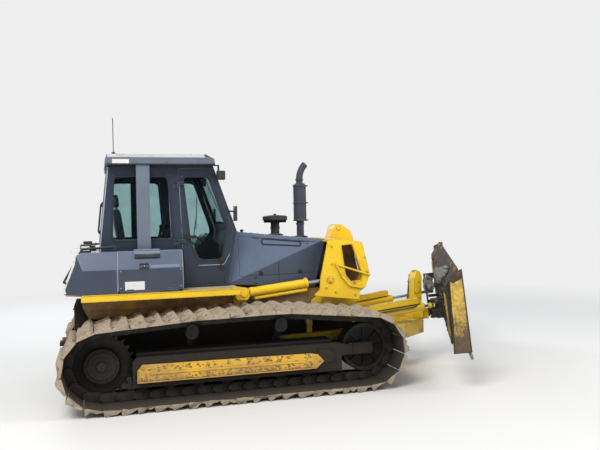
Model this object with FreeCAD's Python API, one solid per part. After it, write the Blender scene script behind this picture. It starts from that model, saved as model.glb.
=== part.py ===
import FreeCAD, Part
import math
import os

os.makedirs("parts", exist_ok=True)

# Crawler dozer with wide swamp tracks and a power-angle-tilt blade, in millimetres.
# +X points forward, +Y to the operator's left, +Z up. The origin lies on the ground,
# half-way between the sprocket and idler centres, on the centre line.
# Pieces of the left side are mirrored from those of the right side (negative Y).

V = FreeCAD.Vector
SIDES = (("right", -1), ("left", 1))

# Running gear
ARM_IN = 470.0
ARM_OUT = 565.0
ARM_TO_TRACK = 75.0
SHOE_WIDTH = 860.0
GAUGE_HALF = ARM_OUT + ARM_TO_TRACK + SHOE_WIDTH / 2
AXLE_HALF_BASE = 1637.5
TRACK_PITCH = 190.0
GROUSER_HEIGHT = 65.0
SHOE_PLATE = 14.0
PIN_TO_PLATE = 55.0
PIN_TO_TREAD = 50.0
SPROCKET_PITCH_R = 378.0
SPROCKET_TEETH = 25
IDLER_PIN_R = 370.0
BOTTOM_ROLLER_R = 100.0
CARRIER_R = 80.0
# carrier roller: X of its centre, height of the pin line above it
CARRIERS = ((-580.0, 965.0), (530.0, 985.0))
ROLLER_REACH = AXLE_HALF_BASE - 447.5
ROLLER_XS = tuple(ROLLER_REACH * (2 * k / 7 - 1) for k in range(8))
RAIL_IN = 35.0
RAIL_OUT = 95.0
RUN_GAP = 0.3
# a link of the top run: reach past its pins, height that parts the runs, least level length
LINK_REACH = 150.0
RUN_SPLIT_Z = 600.0
LINK_LEVEL = 100.0
TOOTH_ROOT = 38.0
TOOTH_TIP = 4.0
DISC_HALF = 29.0
DISC_HUB_R = 200.0
DISC_HUB_OUT = 110.0
FINAL_DRIVE_R = 235.0
FINAL_DRIVE_IN = 700.0
DRIVE_AXLE_R = 180.0
IDLER_WEB_HALF = 45.0
IDLER_DISH = 45.0
IDLER_HUB_R = 95.0
IDLER_HUB_HALF = 105.0
IDLER_SHAFT_R = 45.0
ROLLER_HALF = 100.0
ROLLER_SHAFT_R = 40.0
FLANGE_DEPTH = 25.0
FLANGE_GAP = 8.0
FRAME_IN = GAUGE_HALF - 170.0
FRAME_OUT = GAUGE_HALF + 170.0
FRAME_SIDE = 45.0
BOTTOM_ROLLER_Z = GROUSER_HEIGHT + SHOE_PLATE + PIN_TO_PLATE + PIN_TO_TREAD + BOTTOM_ROLLER_R + RUN_GAP
BEAM_LOW_Z = 400.0
BEAM_TOP_Z = 640.0
CARRIER_ARM_HALF = 35.0
CARRIER_SHAFT_R = 30.0
CARRIER_ARM_GAP = 10.0
CARRIER_ARM = 40.0

# Main frame and body platform
HULL_HALF = 430.0
HULL_REAR_X = -1950.0
HULL_FRONT_X = 600.0
HULL_LOW_Z = 430.0
BELLY_TOP_Z = 630.0
ENGINE_REAR_X = 250.0
ENGINE_FRONT_X = 1240.0
ENGINE_HALF = 300.0
RAIL_TOP_Z = 900.0
FRAME_NOSE_X = 1760.0
SKIRT_IN = 575.0
SKIRT_OUT = 595.0
SKIRT_LOW_Z = 985.0
DECK_Z = 1245.0
PLATFORM_Z = 1335.0
PLATFORM_REAR_X = -1850.0
PLATFORM_FRONT_X = 40.0

# Cab, roll-over posts and side boxes, from the cab outwards
CAB_HALF = 720.0
CAB_WALL = 40.0
ROPS_IN = CAB_HALF + 25
ROPS_OUT = ROPS_IN + 100
COVER_TOP_IN = ROPS_OUT + 10
FENDER_HALF = COVER_TOP_IN + 225
ROOF_HALF = ROPS_OUT + 15
BOX_IN = CAB_HALF + 10

# Rear tank and side boxes
TANK_REAR_X = -2055.0
BODY_TOP_Z = 1830.0
CREASE_Z = 1620.0
BOX_REAR_X = -1433.0
BOX_FRONT_X = -655.0
SEAM = 4.0
ROOF_LOW_Z = 2890.0
ROOF_TOP_Z = 3020.0

# Hood
HOOD_REAR_X = 90.0
HOOD_WALL = 20.0

# Lift linkage points, X and Z
LIFT_PIVOT = (700.0, 520.0)
LEVER_PIVOT = (1335.0, 1057.0)
ROD_PIN = (1347.0, 1353.0)
LEVER_TIP = (1069.0, 1101.0)
ARM_EYE = (1090.0, 742.0)
BARREL_PIN = (160.0, 1223.5)
LIFT_CYL_Y = 655.0
LIFT_CYL_R = 58.0
LIFT_ROD_R = 25.0

# Blade group; positions along the blade's own directions from its ball
BALL = (3120.0, 0.0, 740.0)
BALL_R = 75.0
REST_ANGLE = -25.0
REST_PITCH = 7.0
BLADE_HALF = 1930.0
BLADE_LOW = -300.0
BLADE_HIGH = 840.0
PIN_CLEAR = 0.1


def box(x0, x1, y0, y1, z0, z1):
    return Part.makeBox(x1 - x0, y1 - y0, z1 - z0, V(x0, y0, z0))


def prism_y(points, y0, y1):
    """Extrudes an X, Z outline from y0 to y1."""
    wire = Part.makePolygon([V(x, y0, z) for x, z in points] + [V(points[0][0], y0, points[0][1])])
    return Part.Face(wire).extrude(V(0, y1 - y0, 0))


def prism_z(points, z0, z1):
    """Extrudes an X, Y outline from z0 to z1."""
    wire = Part.makePolygon([V(x, y, z0) for x, y in points] + [V(points[0][0], points[0][1], z0)])
    return Part.Face(wire).extrude(V(0, 0, z1 - z0))


def prism_x(points, x0, x1):
    """Extrudes a Y, Z outline from x0 to x1."""
    wire = Part.makePolygon([V(x0, y, z) for y, z in points] + [V(x0, points[0][0], points[0][1])])
    return Part.Face(wire).extrude(V(x1 - x0, 0, 0))


def rod_y(x, z, r, y0, y1):
    return Part.makeCylinder(r, y1 - y0, V(x, y0, z), V(0, 1, 0))


def rod_between(a, b, r):
    direction = V(*b) - V(*a)
    return Part.makeCylinder(r, direction.Length, V(*a), direction)


def on_circle(centre, radius, angle):
    return (centre[0] + radius * math.cos(angle), centre[1] + radius * math.sin(angle))


def fuse(first, *others):
    return first.fuse(list(others)).removeSplitter() if others else first


def mirror(shape):
    return shape.mirror(V(0, 0, 0), V(0, 1, 0))


def on_side(shape, sign):
    """A shape drawn on the left (positive Y) goes to the side that the sign names."""
    return shape if sign > 0 else mirror(shape)


def both(shape):
    return Part.makeCompound([shape, mirror(shape)])


def save(node, shape):
    shape.exportStep("parts/" + node + ".step")


# Track chain: the closed line through the pins, as straight runs and arcs
def track_line():
    sprocket = (-AXLE_HALF_BASE, GROUSER_HEIGHT + SHOE_PLATE + PIN_TO_PLATE + SPROCKET_PITCH_R)
    idler = (AXLE_HALF_BASE, GROUSER_HEIGHT + SHOE_PLATE + PIN_TO_PLATE + IDLER_PIN_R)
    (rear_x, rear_z), (front_x, front_z) = CARRIERS

    def tangent_angle(centre, radius, x, z, forward):
        dx = x - centre[0]
        dz = z - centre[1]
        spread = math.acos(radius / math.hypot(dx, dz))
        return math.atan2(dz, dx) + (spread if forward else -spread)

    leave_sprocket = tangent_angle(sprocket, SPROCKET_PITCH_R, rear_x, rear_z, True)
    reach_idler = tangent_angle(idler, IDLER_PIN_R, front_x, front_z, False)
    points = []
    steps = 90
    for k in range(steps + 1):
        a = -math.pi / 2 - (2 * math.pi - math.pi / 2 - leave_sprocket) * k / steps
        points.append(on_circle(sprocket, SPROCKET_PITCH_R, a))
    points += list(CARRIERS)
    for k in range(steps + 1):
        a = reach_idler - (reach_idler + math.pi / 2) * k / steps
        points.append(on_circle(idler, IDLER_PIN_R, a))
    points.append(points[0])
    return points, sprocket, idler


def pin_places(line):
    lengths = [math.dist(a, b) for a, b in zip(line, line[1:])]
    total = sum(lengths)
    count = round(total / TRACK_PITCH)
    pins = []
    for k in range(count):
        s = total * k / count
        for (a, b), length in zip(zip(line, line[1:]), lengths):
            if s <= length:
                pins.append((a[0] + (b[0] - a[0]) * s / length, a[1] + (b[1] - a[1]) * s / length))
                break
            s -= length
    return pins


LINE, SPROCKET, IDLER = track_line()
PINS = pin_places(LINE)


def chain_offset(distance):
    """The pins' polygon moved outwards, side by side, by a distance."""
    count = len(PINS)
    out = []
    for k in range(count):
        a, b, c = PINS[k - 1], PINS[k], PINS[(k + 1) % count]
        n1 = outward(a, b)
        n2 = outward(b, c)
        bisector = (n1[0] + n2[0], n1[1] + n2[1])
        scale = distance * 2 / (bisector[0] ** 2 + bisector[1] ** 2)
        out.append((b[0] + bisector[0] * scale, b[1] + bisector[1] * scale))
    return out


def outward(a, b):
    length = math.dist(a, b)
    return (-(b[1] - a[1]) / length, (b[0] - a[0]) / length)


def ring(outer, inner, y0, y1):
    return prism_y(outer, y0, y1).cut(prism_y(inner, y0 - 1, y1 + 1))


def track():
    """Shoes with their grousers on two chain rails."""
    # along the link from its first pin, height above the pins
    shoe_outline = ((8.0, SHOE_PLATE), (148.0, SHOE_PLATE + GROUSER_HEIGHT),
                    (163.0, SHOE_PLATE + GROUSER_HEIGHT), (183.0, SHOE_PLATE))
    outer = []
    count = len(PINS)
    for k in range(count):
        a, b = PINS[k], PINS[(k + 1) % count]
        n = outward(a, b)
        length = math.dist(a, b)
        t = ((b[0] - a[0]) / length, (b[1] - a[1]) / length)
        for s, h in shoe_outline:
            rise = PIN_TO_PLATE + h
            outer.append((a[0] + t[0] * s + n[0] * rise, a[1] + t[1] * s + n[1] * rise))
    y0 = GAUGE_HALF - SHOE_WIDTH / 2
    shoes = ring(outer, chain_offset(PIN_TO_PLATE), y0, y0 + SHOE_WIDTH)
    rail_out = chain_offset(PIN_TO_PLATE)
    rail_in = chain_offset(-PIN_TO_TREAD)
    rails = [ring(rail_out, rail_in, GAUGE_HALF + a, GAUGE_HALF + b)
             for a, b in ((-RAIL_OUT, -RAIL_IN), (RAIL_IN, RAIL_OUT))]
    return shoes.fuse(rails)


def rail_height(x):
    """Heights at x of the tread lines of the top run's links near x, with each slope's cosine."""
    line = chain_offset(-PIN_TO_TREAD)
    heights = []
    for a, b in zip(line, line[1:] + line[:1]):
        near = min(a[0], b[0]) - LINK_REACH <= x <= max(a[0], b[0]) + LINK_REACH
        if near and a[1] > RUN_SPLIT_Z and abs(b[0] - a[0]) > LINK_LEVEL:
            slope = (b[1] - a[1]) / (b[0] - a[0])
            heights.append((a[1] + slope * (x - a[0]), math.cos(math.atan(slope))))
    return heights


def carrier_centre(x):
    return min(z - (CARRIER_R + RUN_GAP) / c for z, c in rail_height(x))


def sprocket_disc():
    root = SPROCKET_PITCH_R - TOOTH_ROOT
    tip = SPROCKET_PITCH_R + TOOTH_TIP
    points = []
    pitch = 2 * math.pi / SPROCKET_TEETH
    start = math.atan2(PINS[2][1] - SPROCKET[1], PINS[2][0] - SPROCKET[0])
    # share of a tooth's pitch, radius
    tooth = ((-0.22, root), (0.22, root), (0.42, tip), (0.58, tip))
    for k in range(SPROCKET_TEETH):
        for share, r in tooth:
            a = start + pitch * (k + share)
            points.append(on_circle(SPROCKET, r, a))
    disc = prism_y(points, GAUGE_HALF - DISC_HALF, GAUGE_HALF + DISC_HALF)
    hub = rod_y(*SPROCKET, DISC_HUB_R, GAUGE_HALF + DISC_HALF, GAUGE_HALF + DISC_HUB_OUT)
    return fuse(disc, hub)


def final_drive():
    case = rod_y(*SPROCKET, FINAL_DRIVE_R, FINAL_DRIVE_IN, GAUGE_HALF - DISC_HALF)
    axle = rod_y(*SPROCKET, DRIVE_AXLE_R, HULL_HALF, FINAL_DRIVE_IN)
    return fuse(axle, case)


IDLER_R = IDLER_PIN_R * math.cos(math.asin(TRACK_PITCH / 2 / IDLER_PIN_R)) - PIN_TO_TREAD - RUN_GAP


def idler():
    wheel = rod_y(*IDLER, IDLER_R, GAUGE_HALF - RAIL_OUT, GAUGE_HALF + RAIL_OUT)
    dishes = ((GAUGE_HALF - RAIL_OUT - 1, GAUGE_HALF - IDLER_WEB_HALF),
              (GAUGE_HALF + IDLER_WEB_HALF, GAUGE_HALF + RAIL_OUT + 1))
    for y0, y1 in dishes:
        wheel = wheel.cut(rod_y(*IDLER, IDLER_R - IDLER_DISH, y0, y1))
    hub = rod_y(*IDLER, IDLER_HUB_R, GAUGE_HALF - IDLER_HUB_HALF, GAUGE_HALF + IDLER_HUB_HALF)
    return fuse(wheel, hub)


def bottom_roller(x):
    place = (x, BOTTOM_ROLLER_Z)
    half = RAIL_IN - FLANGE_GAP
    treads = rod_y(*place, BOTTOM_ROLLER_R, GAUGE_HALF - ROLLER_HALF, GAUGE_HALF + ROLLER_HALF)
    shaft = rod_y(*place, ROLLER_SHAFT_R, FRAME_IN + FRAME_SIDE, FRAME_OUT - FRAME_SIDE)
    groove = rod_y(*place, BOTTOM_ROLLER_R + 1, GAUGE_HALF - half, GAUGE_HALF + half)
    core = rod_y(*place, BOTTOM_ROLLER_R - FLANGE_DEPTH, GAUGE_HALF - RAIL_IN, GAUGE_HALF + RAIL_IN)
    return fuse(treads.cut(groove.cut(core)), shaft)


def carrier_roller(x):
    z = carrier_centre(x)
    arm_out = GAUGE_HALF - ROLLER_HALF - CARRIER_ARM_GAP
    barrel = rod_y(x, z, CARRIER_R, GAUGE_HALF - ROLLER_HALF, GAUGE_HALF + ROLLER_HALF)
    arm = box(x - CARRIER_ARM_HALF, x + CARRIER_ARM_HALF, arm_out - CARRIER_ARM, arm_out,
              BEAM_TOP_Z, z + CARRIER_SHAFT_R)
    shaft = rod_y(x, z, CARRIER_SHAFT_R, arm_out, GAUGE_HALF - ROLLER_HALF)
    return fuse(barrel, arm, shaft)


def track_frame():
    """Box beam between the track's runs, with side plates that hold the bottom rollers' shafts."""
    rear = -ROLLER_REACH - 100
    front = ROLLER_REACH + 110
    yoke = front + 100
    beam = box(rear + 50, front - 120, FRAME_IN + FRAME_SIDE, FRAME_OUT - FRAME_SIDE,
               BEAM_LOW_Z, BEAM_TOP_Z)
    side_low = BOTTOM_ROLLER_Z - 42.0
    side = ((rear, side_low), (front, side_low), (front, 430.0), (yoke, 440.0), (yoke, 560.0),
            (front - 60, 600.0), (rear + 50, 600.0), (rear, 540.0))
    sides = [prism_y(side, y0, y0 + FRAME_SIDE) for y0 in (FRAME_IN, FRAME_OUT - FRAME_SIDE)]
    # idler yoke, either side of the idler's hub
    yokes = [box(yoke, AXLE_HALF_BASE + 90, y0, y0 + 35, 430.0, 580.0)
             for y0 in (FRAME_IN + 10, FRAME_OUT - 45)]
    drive_arm = box(-AXLE_HALF_BASE + 137.5, rear + 50, FRAME_IN, FRAME_IN + 35, 420.0, 620.0)
    drive_arm = drive_arm.cut(rod_y(*SPROCKET, FINAL_DRIVE_R, FRAME_IN - 1, FRAME_IN + 36))
    frame = beam.fuse(sides + yokes + [drive_arm]).removeSplitter()
    # idler shaft is fixed in the yokes
    shaft = [rod_y(*IDLER, IDLER_SHAFT_R, FRAME_IN + 10, GAUGE_HALF - IDLER_HUB_HALF),
             rod_y(*IDLER, IDLER_SHAFT_R, GAUGE_HALF + IDLER_HUB_HALF, FRAME_OUT - 10)]
    return frame.fuse(shaft)


GUARD_X0 = -ROLLER_REACH - 50
GUARD_X1 = ROLLER_REACH - 190
GUARD_PLATE = 16.0


def roller_guard():
    """Long plate outside the bottom rollers."""
    outline = ((GUARD_X0, 296.0), (GUARD_X1 - 40, 296.0), (GUARD_X1 + 60, 380.0),
               (GUARD_X1 - 20, 470.0), (GUARD_X1 - 120, 490.0), (GUARD_X0 + 60, 510.0),
               (GUARD_X0, 440.0))
    return prism_y(outline, FRAME_OUT, FRAME_OUT + GUARD_PLATE)


EQUALIZER_X = 420.0
EQUALIZER_HALF = 70.0
EQUALIZER_LOW_Z = 300.0


def equalizer_bar():
    """Cross bar under the hull, between the track frames."""
    return box(EQUALIZER_X - EQUALIZER_HALF, EQUALIZER_X + EQUALIZER_HALF, -FRAME_IN + RUN_GAP,
               FRAME_IN - RUN_GAP, EQUALIZER_LOW_Z, HULL_LOW_Z - RUN_GAP)


DRAWBAR_LENGTH = 200.0
DRAWBAR_HALF = 110.0
DRAWBAR_PLATE = 45.0
DRAWBAR_LEVELS = (470.0, 600.0)
DRAWBAR_HOLE_R = 27.0
DRAWBAR_HOLE_BACK = 140.0


# Main frame: transmission hull, engine rails, belly, platform deck and the outer skirts
def main_frame():
    solids = [
        box(HULL_REAR_X, ENGINE_REAR_X, -HULL_HALF, HULL_HALF, HULL_LOW_Z, DECK_Z - 95),
        box(ENGINE_REAR_X, HULL_FRONT_X, -HULL_HALF, HULL_HALF, HULL_LOW_Z, BELLY_TOP_Z),
        box(PLATFORM_REAR_X, PLATFORM_FRONT_X, -SKIRT_IN, SKIRT_IN, DECK_Z - 95, DECK_Z),
        box(PLATFORM_REAR_X, PLATFORM_FRONT_X, -HULL_HALF, HULL_HALF, DECK_Z, PLATFORM_Z),
        box(HULL_FRONT_X, FRAME_NOSE_X, -HULL_HALF, HULL_HALF, BELLY_TOP_Z - 30, BELLY_TOP_Z),
        box(FRAME_NOSE_X - 150, FRAME_NOSE_X, -HULL_HALF, HULL_HALF, BELLY_TOP_Z, RAIL_TOP_Z),
    ]
    for sign in (-1, 1):
        rail = box(ENGINE_REAR_X, FRAME_NOSE_X, ENGINE_HALF, HULL_HALF, BELLY_TOP_Z - 30, RAIL_TOP_Z)
        upper = box(ENGINE_REAR_X, HULL_FRONT_X + 40, ENGINE_HALF, HULL_HALF, RAIL_TOP_Z, DECK_Z - 95)
        solids += [on_side(rail, sign), on_side(upper, sign)]
    # drawbar: two tongues with an upright pin hole
    for z0 in DRAWBAR_LEVELS:
        tongue = box(HULL_REAR_X - DRAWBAR_LENGTH, HULL_REAR_X, -DRAWBAR_HALF, DRAWBAR_HALF,
                     z0, z0 + DRAWBAR_PLATE)
        solids.append(tongue)
    frame = solids[0].fuse(solids[1:]).removeSplitter()
    hole_foot = V(HULL_REAR_X - DRAWBAR_HOLE_BACK, 0, DRAWBAR_LEVELS[0] - 30)
    return frame.cut(Part.makeCylinder(DRAWBAR_HOLE_R, 300.0, hole_foot))


ARM_PIN_R = 45.0
PIVOT_BOSS_R = 90.0
PIVOT_GAP = 6.0
PIVOT_PIN_PROUD = 12.0


def frame_pivot():
    """Cheek, boss and pin on which a push arm turns."""
    cheek_top = BELLY_TOP_Z - 30
    cheek = box(HULL_FRONT_X, HULL_FRONT_X + 200, HULL_HALF - 30, HULL_HALF,
                LIFT_PIVOT[1] - 50, cheek_top)
    boss = rod_y(*LIFT_PIVOT, PIVOT_BOSS_R, HULL_HALF, ARM_IN - PIVOT_GAP)
    boss = boss.cut(box(HULL_REAR_X, FRAME_NOSE_X, HULL_HALF, ARM_IN, cheek_top, RAIL_TOP_Z))
    pin = rod_y(*LIFT_PIVOT, ARM_PIN_R, ARM_IN - PIVOT_GAP, ARM_OUT + PIVOT_PIN_PROUD)
    return fuse(cheek, boss, pin)


SKIRT_FRONT_X = 1210.0
SKIRT_STEP = ((1080.0, SKIRT_LOW_Z), (1105.0, 1093.0), (SKIRT_FRONT_X, 1153.0))


def skirt():
    """Plate under the walkway's inner edge, stepped in front beside the guard's lower plate."""
    outline = ((PLATFORM_REAR_X, DECK_Z - 95), (PLATFORM_REAR_X + 80, SKIRT_LOW_Z), *SKIRT_STEP,
               (SKIRT_FRONT_X, DECK_Z), (PLATFORM_REAR_X, DECK_Z))
    return prism_y(outline, SKIRT_IN, SKIRT_OUT)


FENDER_SHEET = 20.0
FENDER_END = 15.0
FENDER_LOW_Z = DECK_Z + 5


def fender():
    """Walkway beside the cab: a top sheet with a deep outer lip."""
    under = PLATFORM_Z - FENDER_SHEET
    lip_in = FENDER_HALF - FENDER_SHEET
    top = box(PLATFORM_REAR_X, PLATFORM_FRONT_X, HULL_HALF, FENDER_HALF, under, PLATFORM_Z)
    lip = box(PLATFORM_REAR_X, PLATFORM_FRONT_X, lip_in, FENDER_HALF, FENDER_LOW_Z, under)
    seat = box(PLATFORM_REAR_X, PLATFORM_FRONT_X, HULL_HALF, SKIRT_OUT, DECK_Z, under)
    ends = [box(x, x + FENDER_END, SKIRT_OUT, lip_in, FENDER_LOW_Z, under)
            for x in (PLATFORM_REAR_X, PLATFORM_FRONT_X - FENDER_END)]
    return fuse(top, lip, seat, *ends)


UPPER_LEAN = 80.0


def upper_slant(x0, x1):
    """The wedge above the crease that is cut away so that the upper sides lean inwards."""
    top_out = FENDER_HALF - UPPER_LEAN
    return prism_x(((FENDER_HALF + 1, CREASE_Z), (FENDER_HALF, CREASE_Z), (top_out, BODY_TOP_Z),
                    (top_out, BODY_TOP_Z + 1), (FENDER_HALF + 1, BODY_TOP_Z + 1)), x0, x1)


def fuel_tank():
    outline = ((BOX_REAR_X - SEAM, PLATFORM_Z), (TANK_REAR_X + 15, PLATFORM_Z),
               (TANK_REAR_X, PLATFORM_Z + 60), (TANK_REAR_X + 160, BODY_TOP_Z - 30),
               (TANK_REAR_X + 215, BODY_TOP_Z), (BOX_REAR_X - SEAM, BODY_TOP_Z))
    tank = prism_y(outline, -FENDER_HALF, FENDER_HALF)
    # the cab stands in the middle of the tank's front
    tank = tank.cut(box(CAB_REAR_X - 5, 0, -BOX_IN, BOX_IN, PLATFORM_Z - 1, BODY_TOP_Z + 1))
    for sign in (-1, 1):
        corner = prism_z(((TANK_REAR_X - 50, FENDER_HALF - 260), (TANK_REAR_X + 230, FENDER_HALF + 1),
                          (TANK_REAR_X - 50, FENDER_HALF + 1)), PLATFORM_Z - 1, BODY_TOP_Z + 1)
        slant = upper_slant(TANK_REAR_X - 10, BOX_REAR_X + 10)
        tank = tank.cut(on_side(corner, sign)).cut(on_side(slant, sign))
    return tank


COVER_WALL = 25.0
COVER_LOW_Z = 1362.0
# hinge line of the side lid, outside its lower edge
COVER_AXIS_OUT = 8.0
COVER_LEAF = 4.0
COVER_AXIS_Z = 1356.0
COVER_AXIS_R = 6.0
COVER_KNUCKLE = 80.0
COVER_HINGES = (-1330.0, -860.0)


def cover_knuckle(x0, x1):
    foot = V(x0, FENDER_HALF + COVER_AXIS_OUT, COVER_AXIS_Z)
    return Part.makeCylinder(COVER_AXIS_R, x1 - x0, foot, V(1, 0, 0))


def side_cover():
    """Lid of the side box: outer face, leaning upper face and top, hinged along its lower edge."""
    top_out = FENDER_HALF - UPPER_LEAN
    under = BODY_TOP_Z - COVER_WALL
    section = ((FENDER_HALF, COVER_LOW_Z), (FENDER_HALF, CREASE_Z), (top_out, BODY_TOP_Z),
               (COVER_TOP_IN, BODY_TOP_Z), (COVER_TOP_IN, under), (top_out - 17, under),
               (FENDER_HALF - COVER_WALL, CREASE_Z - 6), (FENDER_HALF - COVER_WALL, COVER_LOW_Z))
    lid = prism_x(section, BOX_REAR_X, BOX_FRONT_X - SEAM)
    knuckles = []
    for x0 in COVER_HINGES:
        x1 = x0 + COVER_KNUCKLE
        knuckles.append(box(x0, x1, FENDER_HALF, FENDER_HALF + COVER_LEAF, COVER_AXIS_Z, COVER_LOW_Z + 20))
        knuckles.append(cover_knuckle(x0, x1))
    return lid.fuse(knuckles)


def side_box():
    """Fixed box inside the lid, with the ledge round the roll-over post's foot."""
    tray = box(BOX_REAR_X + 6, BOX_FRONT_X - SEAM - 6, BOX_IN + 10, FENDER_HALF - COVER_WALL - 12,
               PLATFORM_Z, PLATFORM_Z + 20)
    inner = box(BOX_REAR_X, BOX_FRONT_X - SEAM, BOX_IN, BOX_IN + 15, PLATFORM_Z, BODY_TOP_Z)
    ledge = box(BOX_REAR_X, BOX_FRONT_X - SEAM, BOX_IN, COVER_TOP_IN - 8, BODY_TOP_Z - 20, BODY_TOP_Z)
    block = box(-1000.0, -720.0, BOX_IN + 40, FENDER_HALF - 90, PLATFORM_Z + 20, PLATFORM_Z + 260)
    solid = fuse(inner, tray, ledge, block)
    room = box(ROPS_X0 - POST_ROOM, ROPS_X1 + POST_ROOM, BOX_IN - 1, ROPS_OUT + POST_ROOM,
               PLATFORM_Z - 1, BODY_TOP_Z + 1)
    return solid.cut(room)


def hinge_strip():
    """Fixed hinge leaf on the walkway, under the lid's lower edge."""
    strip = box(BOX_REAR_X + 60, BOX_FRONT_X - 64, FENDER_HALF - 40, FENDER_HALF, PLATFORM_Z,
                COVER_LOW_Z - RUN_GAP)
    knuckles = []
    for hinge_x in COVER_HINGES:
        x0 = hinge_x - COVER_KNUCKLE - RUN_GAP
        x1 = hinge_x - RUN_GAP
        knuckles.append(box(x0, x1, FENDER_HALF, FENDER_HALF + COVER_LEAF, PLATFORM_Z + 5, COVER_AXIS_Z))
        knuckles.append(cover_knuckle(x0, x1))
    return strip.fuse(knuckles)


ROPS_X0 = -1180.0
ROPS_X1 = -1020.0
POST_ROOM = 6.0


def rops_post():
    return box(ROPS_X0, ROPS_X1, ROPS_IN, ROPS_OUT, PLATFORM_Z, ROOF_LOW_Z)


# Cab: side outline (X, Z), walls inset from it
CAB_REAR_X = -1630.0
CAB_WAIST_Z = 1920.0
CAB_TOP_REAR_X = -1520.0
CAB_TOP_FRONT_X = -215.0
CAB_KNEE_X = 80.0
CAB_KNEE_Z = 2045.0
CAB_TOE_X = -55.0
CAB_SIDE = ((CAB_REAR_X, PLATFORM_Z), (CAB_REAR_X, CAB_WAIST_Z), (CAB_TOP_REAR_X, ROOF_LOW_Z),
            (CAB_TOP_FRONT_X, ROOF_LOW_Z), (CAB_KNEE_X, CAB_KNEE_Z), (CAB_TOE_X, PLATFORM_Z))
CAB_INSIDE = ((CAB_REAR_X + CAB_WALL, PLATFORM_Z + CAB_WALL), (CAB_REAR_X + CAB_WALL, CAB_WAIST_Z - 2),
              (CAB_TOP_REAR_X + CAB_WALL, ROOF_LOW_Z - CAB_WALL),
              (CAB_TOP_FRONT_X - CAB_WALL, ROOF_LOW_Z - CAB_WALL),
              (CAB_KNEE_X - CAB_WALL, CAB_KNEE_Z), (CAB_TOE_X - CAB_WALL, PLATFORM_Z + CAB_WALL))
DOOR_HOLE = ((-656.0, 2848.0), (-600.0, 1368.0), (-98.0, 1368.0), (34.0, CAB_KNEE_Z), (-240.0, 2848.0))
DOOR_GAP = 7.0
DOOR_GLASS = ((-612.0, 2755.0), (-526.0, 1905.0), (-418.0, 1672.0), (-118.0, 1670.0),
              (-30.0, 2053.0), (-270.0, 2752.0))
SIDE_WINDOW = ((-1456.0, 2760.0), (-779.0, 2760.0), (-720.0, 1950.0), (-1490.0, 1950.0))
PANE = 6.0
PANE_IN = CAB_HALF - 22
DOOR_AXIS = (-672.0, CAB_HALF + 16)
DOOR_HINGES = (1870.0, 2600.0)
DOOR_KNUCKLE = 40.0
DOOR_PIN_R = 14.0


def inset(points, distance):
    """Moves a convex outline's sides inwards."""
    count = len(points)
    area = sum(a[0] * b[1] - b[0] * a[1] for a, b in zip(points, points[1:] + points[:1]))
    turn = 1.0 if area > 0 else -1.0
    out = []
    for k in range(count):
        a, b, c = points[k - 1], points[k], points[(k + 1) % count]
        l1, l2 = math.dist(a, b), math.dist(b, c)
        n1 = (-turn * (b[1] - a[1]) / l1, turn * (b[0] - a[0]) / l1)
        n2 = (-turn * (c[1] - b[1]) / l2, turn * (c[0] - b[0]) / l2)
        s = (n1[0] + n2[0], n1[1] + n2[1])
        scale = 2 * distance / (s[0] ** 2 + s[1] ** 2)
        out.append((b[0] + s[0] * scale, b[1] + s[1] * scale))
    return tuple(out)


def slanted_hole(low, high, half, depth=60.0):
    """A window hole through a wall whose X, Z line runs from low to high, this half width."""
    (x0, z0), (x1, z1) = low, high
    outline = ((x0 - depth, z0), (x0 + depth, z0), (x1 + depth, z1), (x1 - depth, z1))
    return prism_y(outline, -half, half)


FRONT_LOW = (48.0, 2135.0)
FRONT_HIGH = (-190.0, 2818.0)
REAR_LOW = (CAB_REAR_X + 4.0, 1960.0)
REAR_HIGH = (-1528.0, 2820.0)
FRONT_HALF = CAB_HALF - 80
REAR_WINDOW_HALF = CAB_HALF - 100


def cab_shell():
    shell = prism_y(CAB_SIDE, -CAB_HALF, CAB_HALF)
    shell = shell.cut(prism_y(CAB_INSIDE, -CAB_HALF + CAB_WALL, CAB_HALF - CAB_WALL))
    shell = shell.cut(prism_y(SIDE_WINDOW, -CAB_HALF - 1, CAB_HALF + 1))
    for sign in (-1, 1):
        shell = shell.cut(on_side(prism_y(DOOR_HOLE, CAB_HALF - CAB_WALL, CAB_HALF + 1), sign))
    shell = shell.cut(slanted_hole(FRONT_LOW, FRONT_HIGH, FRONT_HALF))
    shell = shell.cut(slanted_hole(REAR_LOW, REAR_HIGH, REAR_WINDOW_HALF))
    knuckles = []
    for sign in (-1, 1):
        for z in DOOR_HINGES:
            knuckles.append(on_side(hinge_knuckle(z, z + DOOR_KNUCKLE, False), sign))
    return shell.fuse(knuckles)


def hinge_knuckle(z0, z1, door):
    x, y = DOOR_AXIS
    pin = Part.makeCylinder(DOOR_PIN_R, z1 - z0, V(x, y, z0))
    leaf_x = (x, -585.0) if door else (-720.0, x)
    leaf_y1 = y + 8 if door else y
    leaf = box(leaf_x[0], leaf_x[1], CAB_HALF, leaf_y1, z0, z1)
    return fuse(pin.cut(box(x - 20, x + 20, y - 40, CAB_HALF, z0 - 1, z1 + 1)), leaf)


def cab_door():
    outline = inset(DOOR_HOLE, DOOR_GAP)
    leaf = prism_y(outline, CAB_HALF - CAB_WALL + 4, CAB_HALF)
    leaf = leaf.cut(prism_y(DOOR_GLASS, CAB_HALF - 100, CAB_HALF + 1))
    knuckles = [hinge_knuckle(z + DOOR_KNUCKLE + RUN_GAP, z + 2 * DOOR_KNUCKLE, True) for z in DOOR_HINGES]
    return fuse(leaf, *knuckles)


def door_glass():
    return prism_y(DOOR_GLASS, PANE_IN, PANE_IN + PANE)


def pane_along(low, high, half, offset):
    (x0, z0), (x1, z1) = low, high
    outline = ((x0 + offset, z0), (x0 + offset + PANE, z0), (x1 + offset + PANE, z1), (x1 + offset, z1))
    return prism_y(outline, -half, half)


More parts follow.
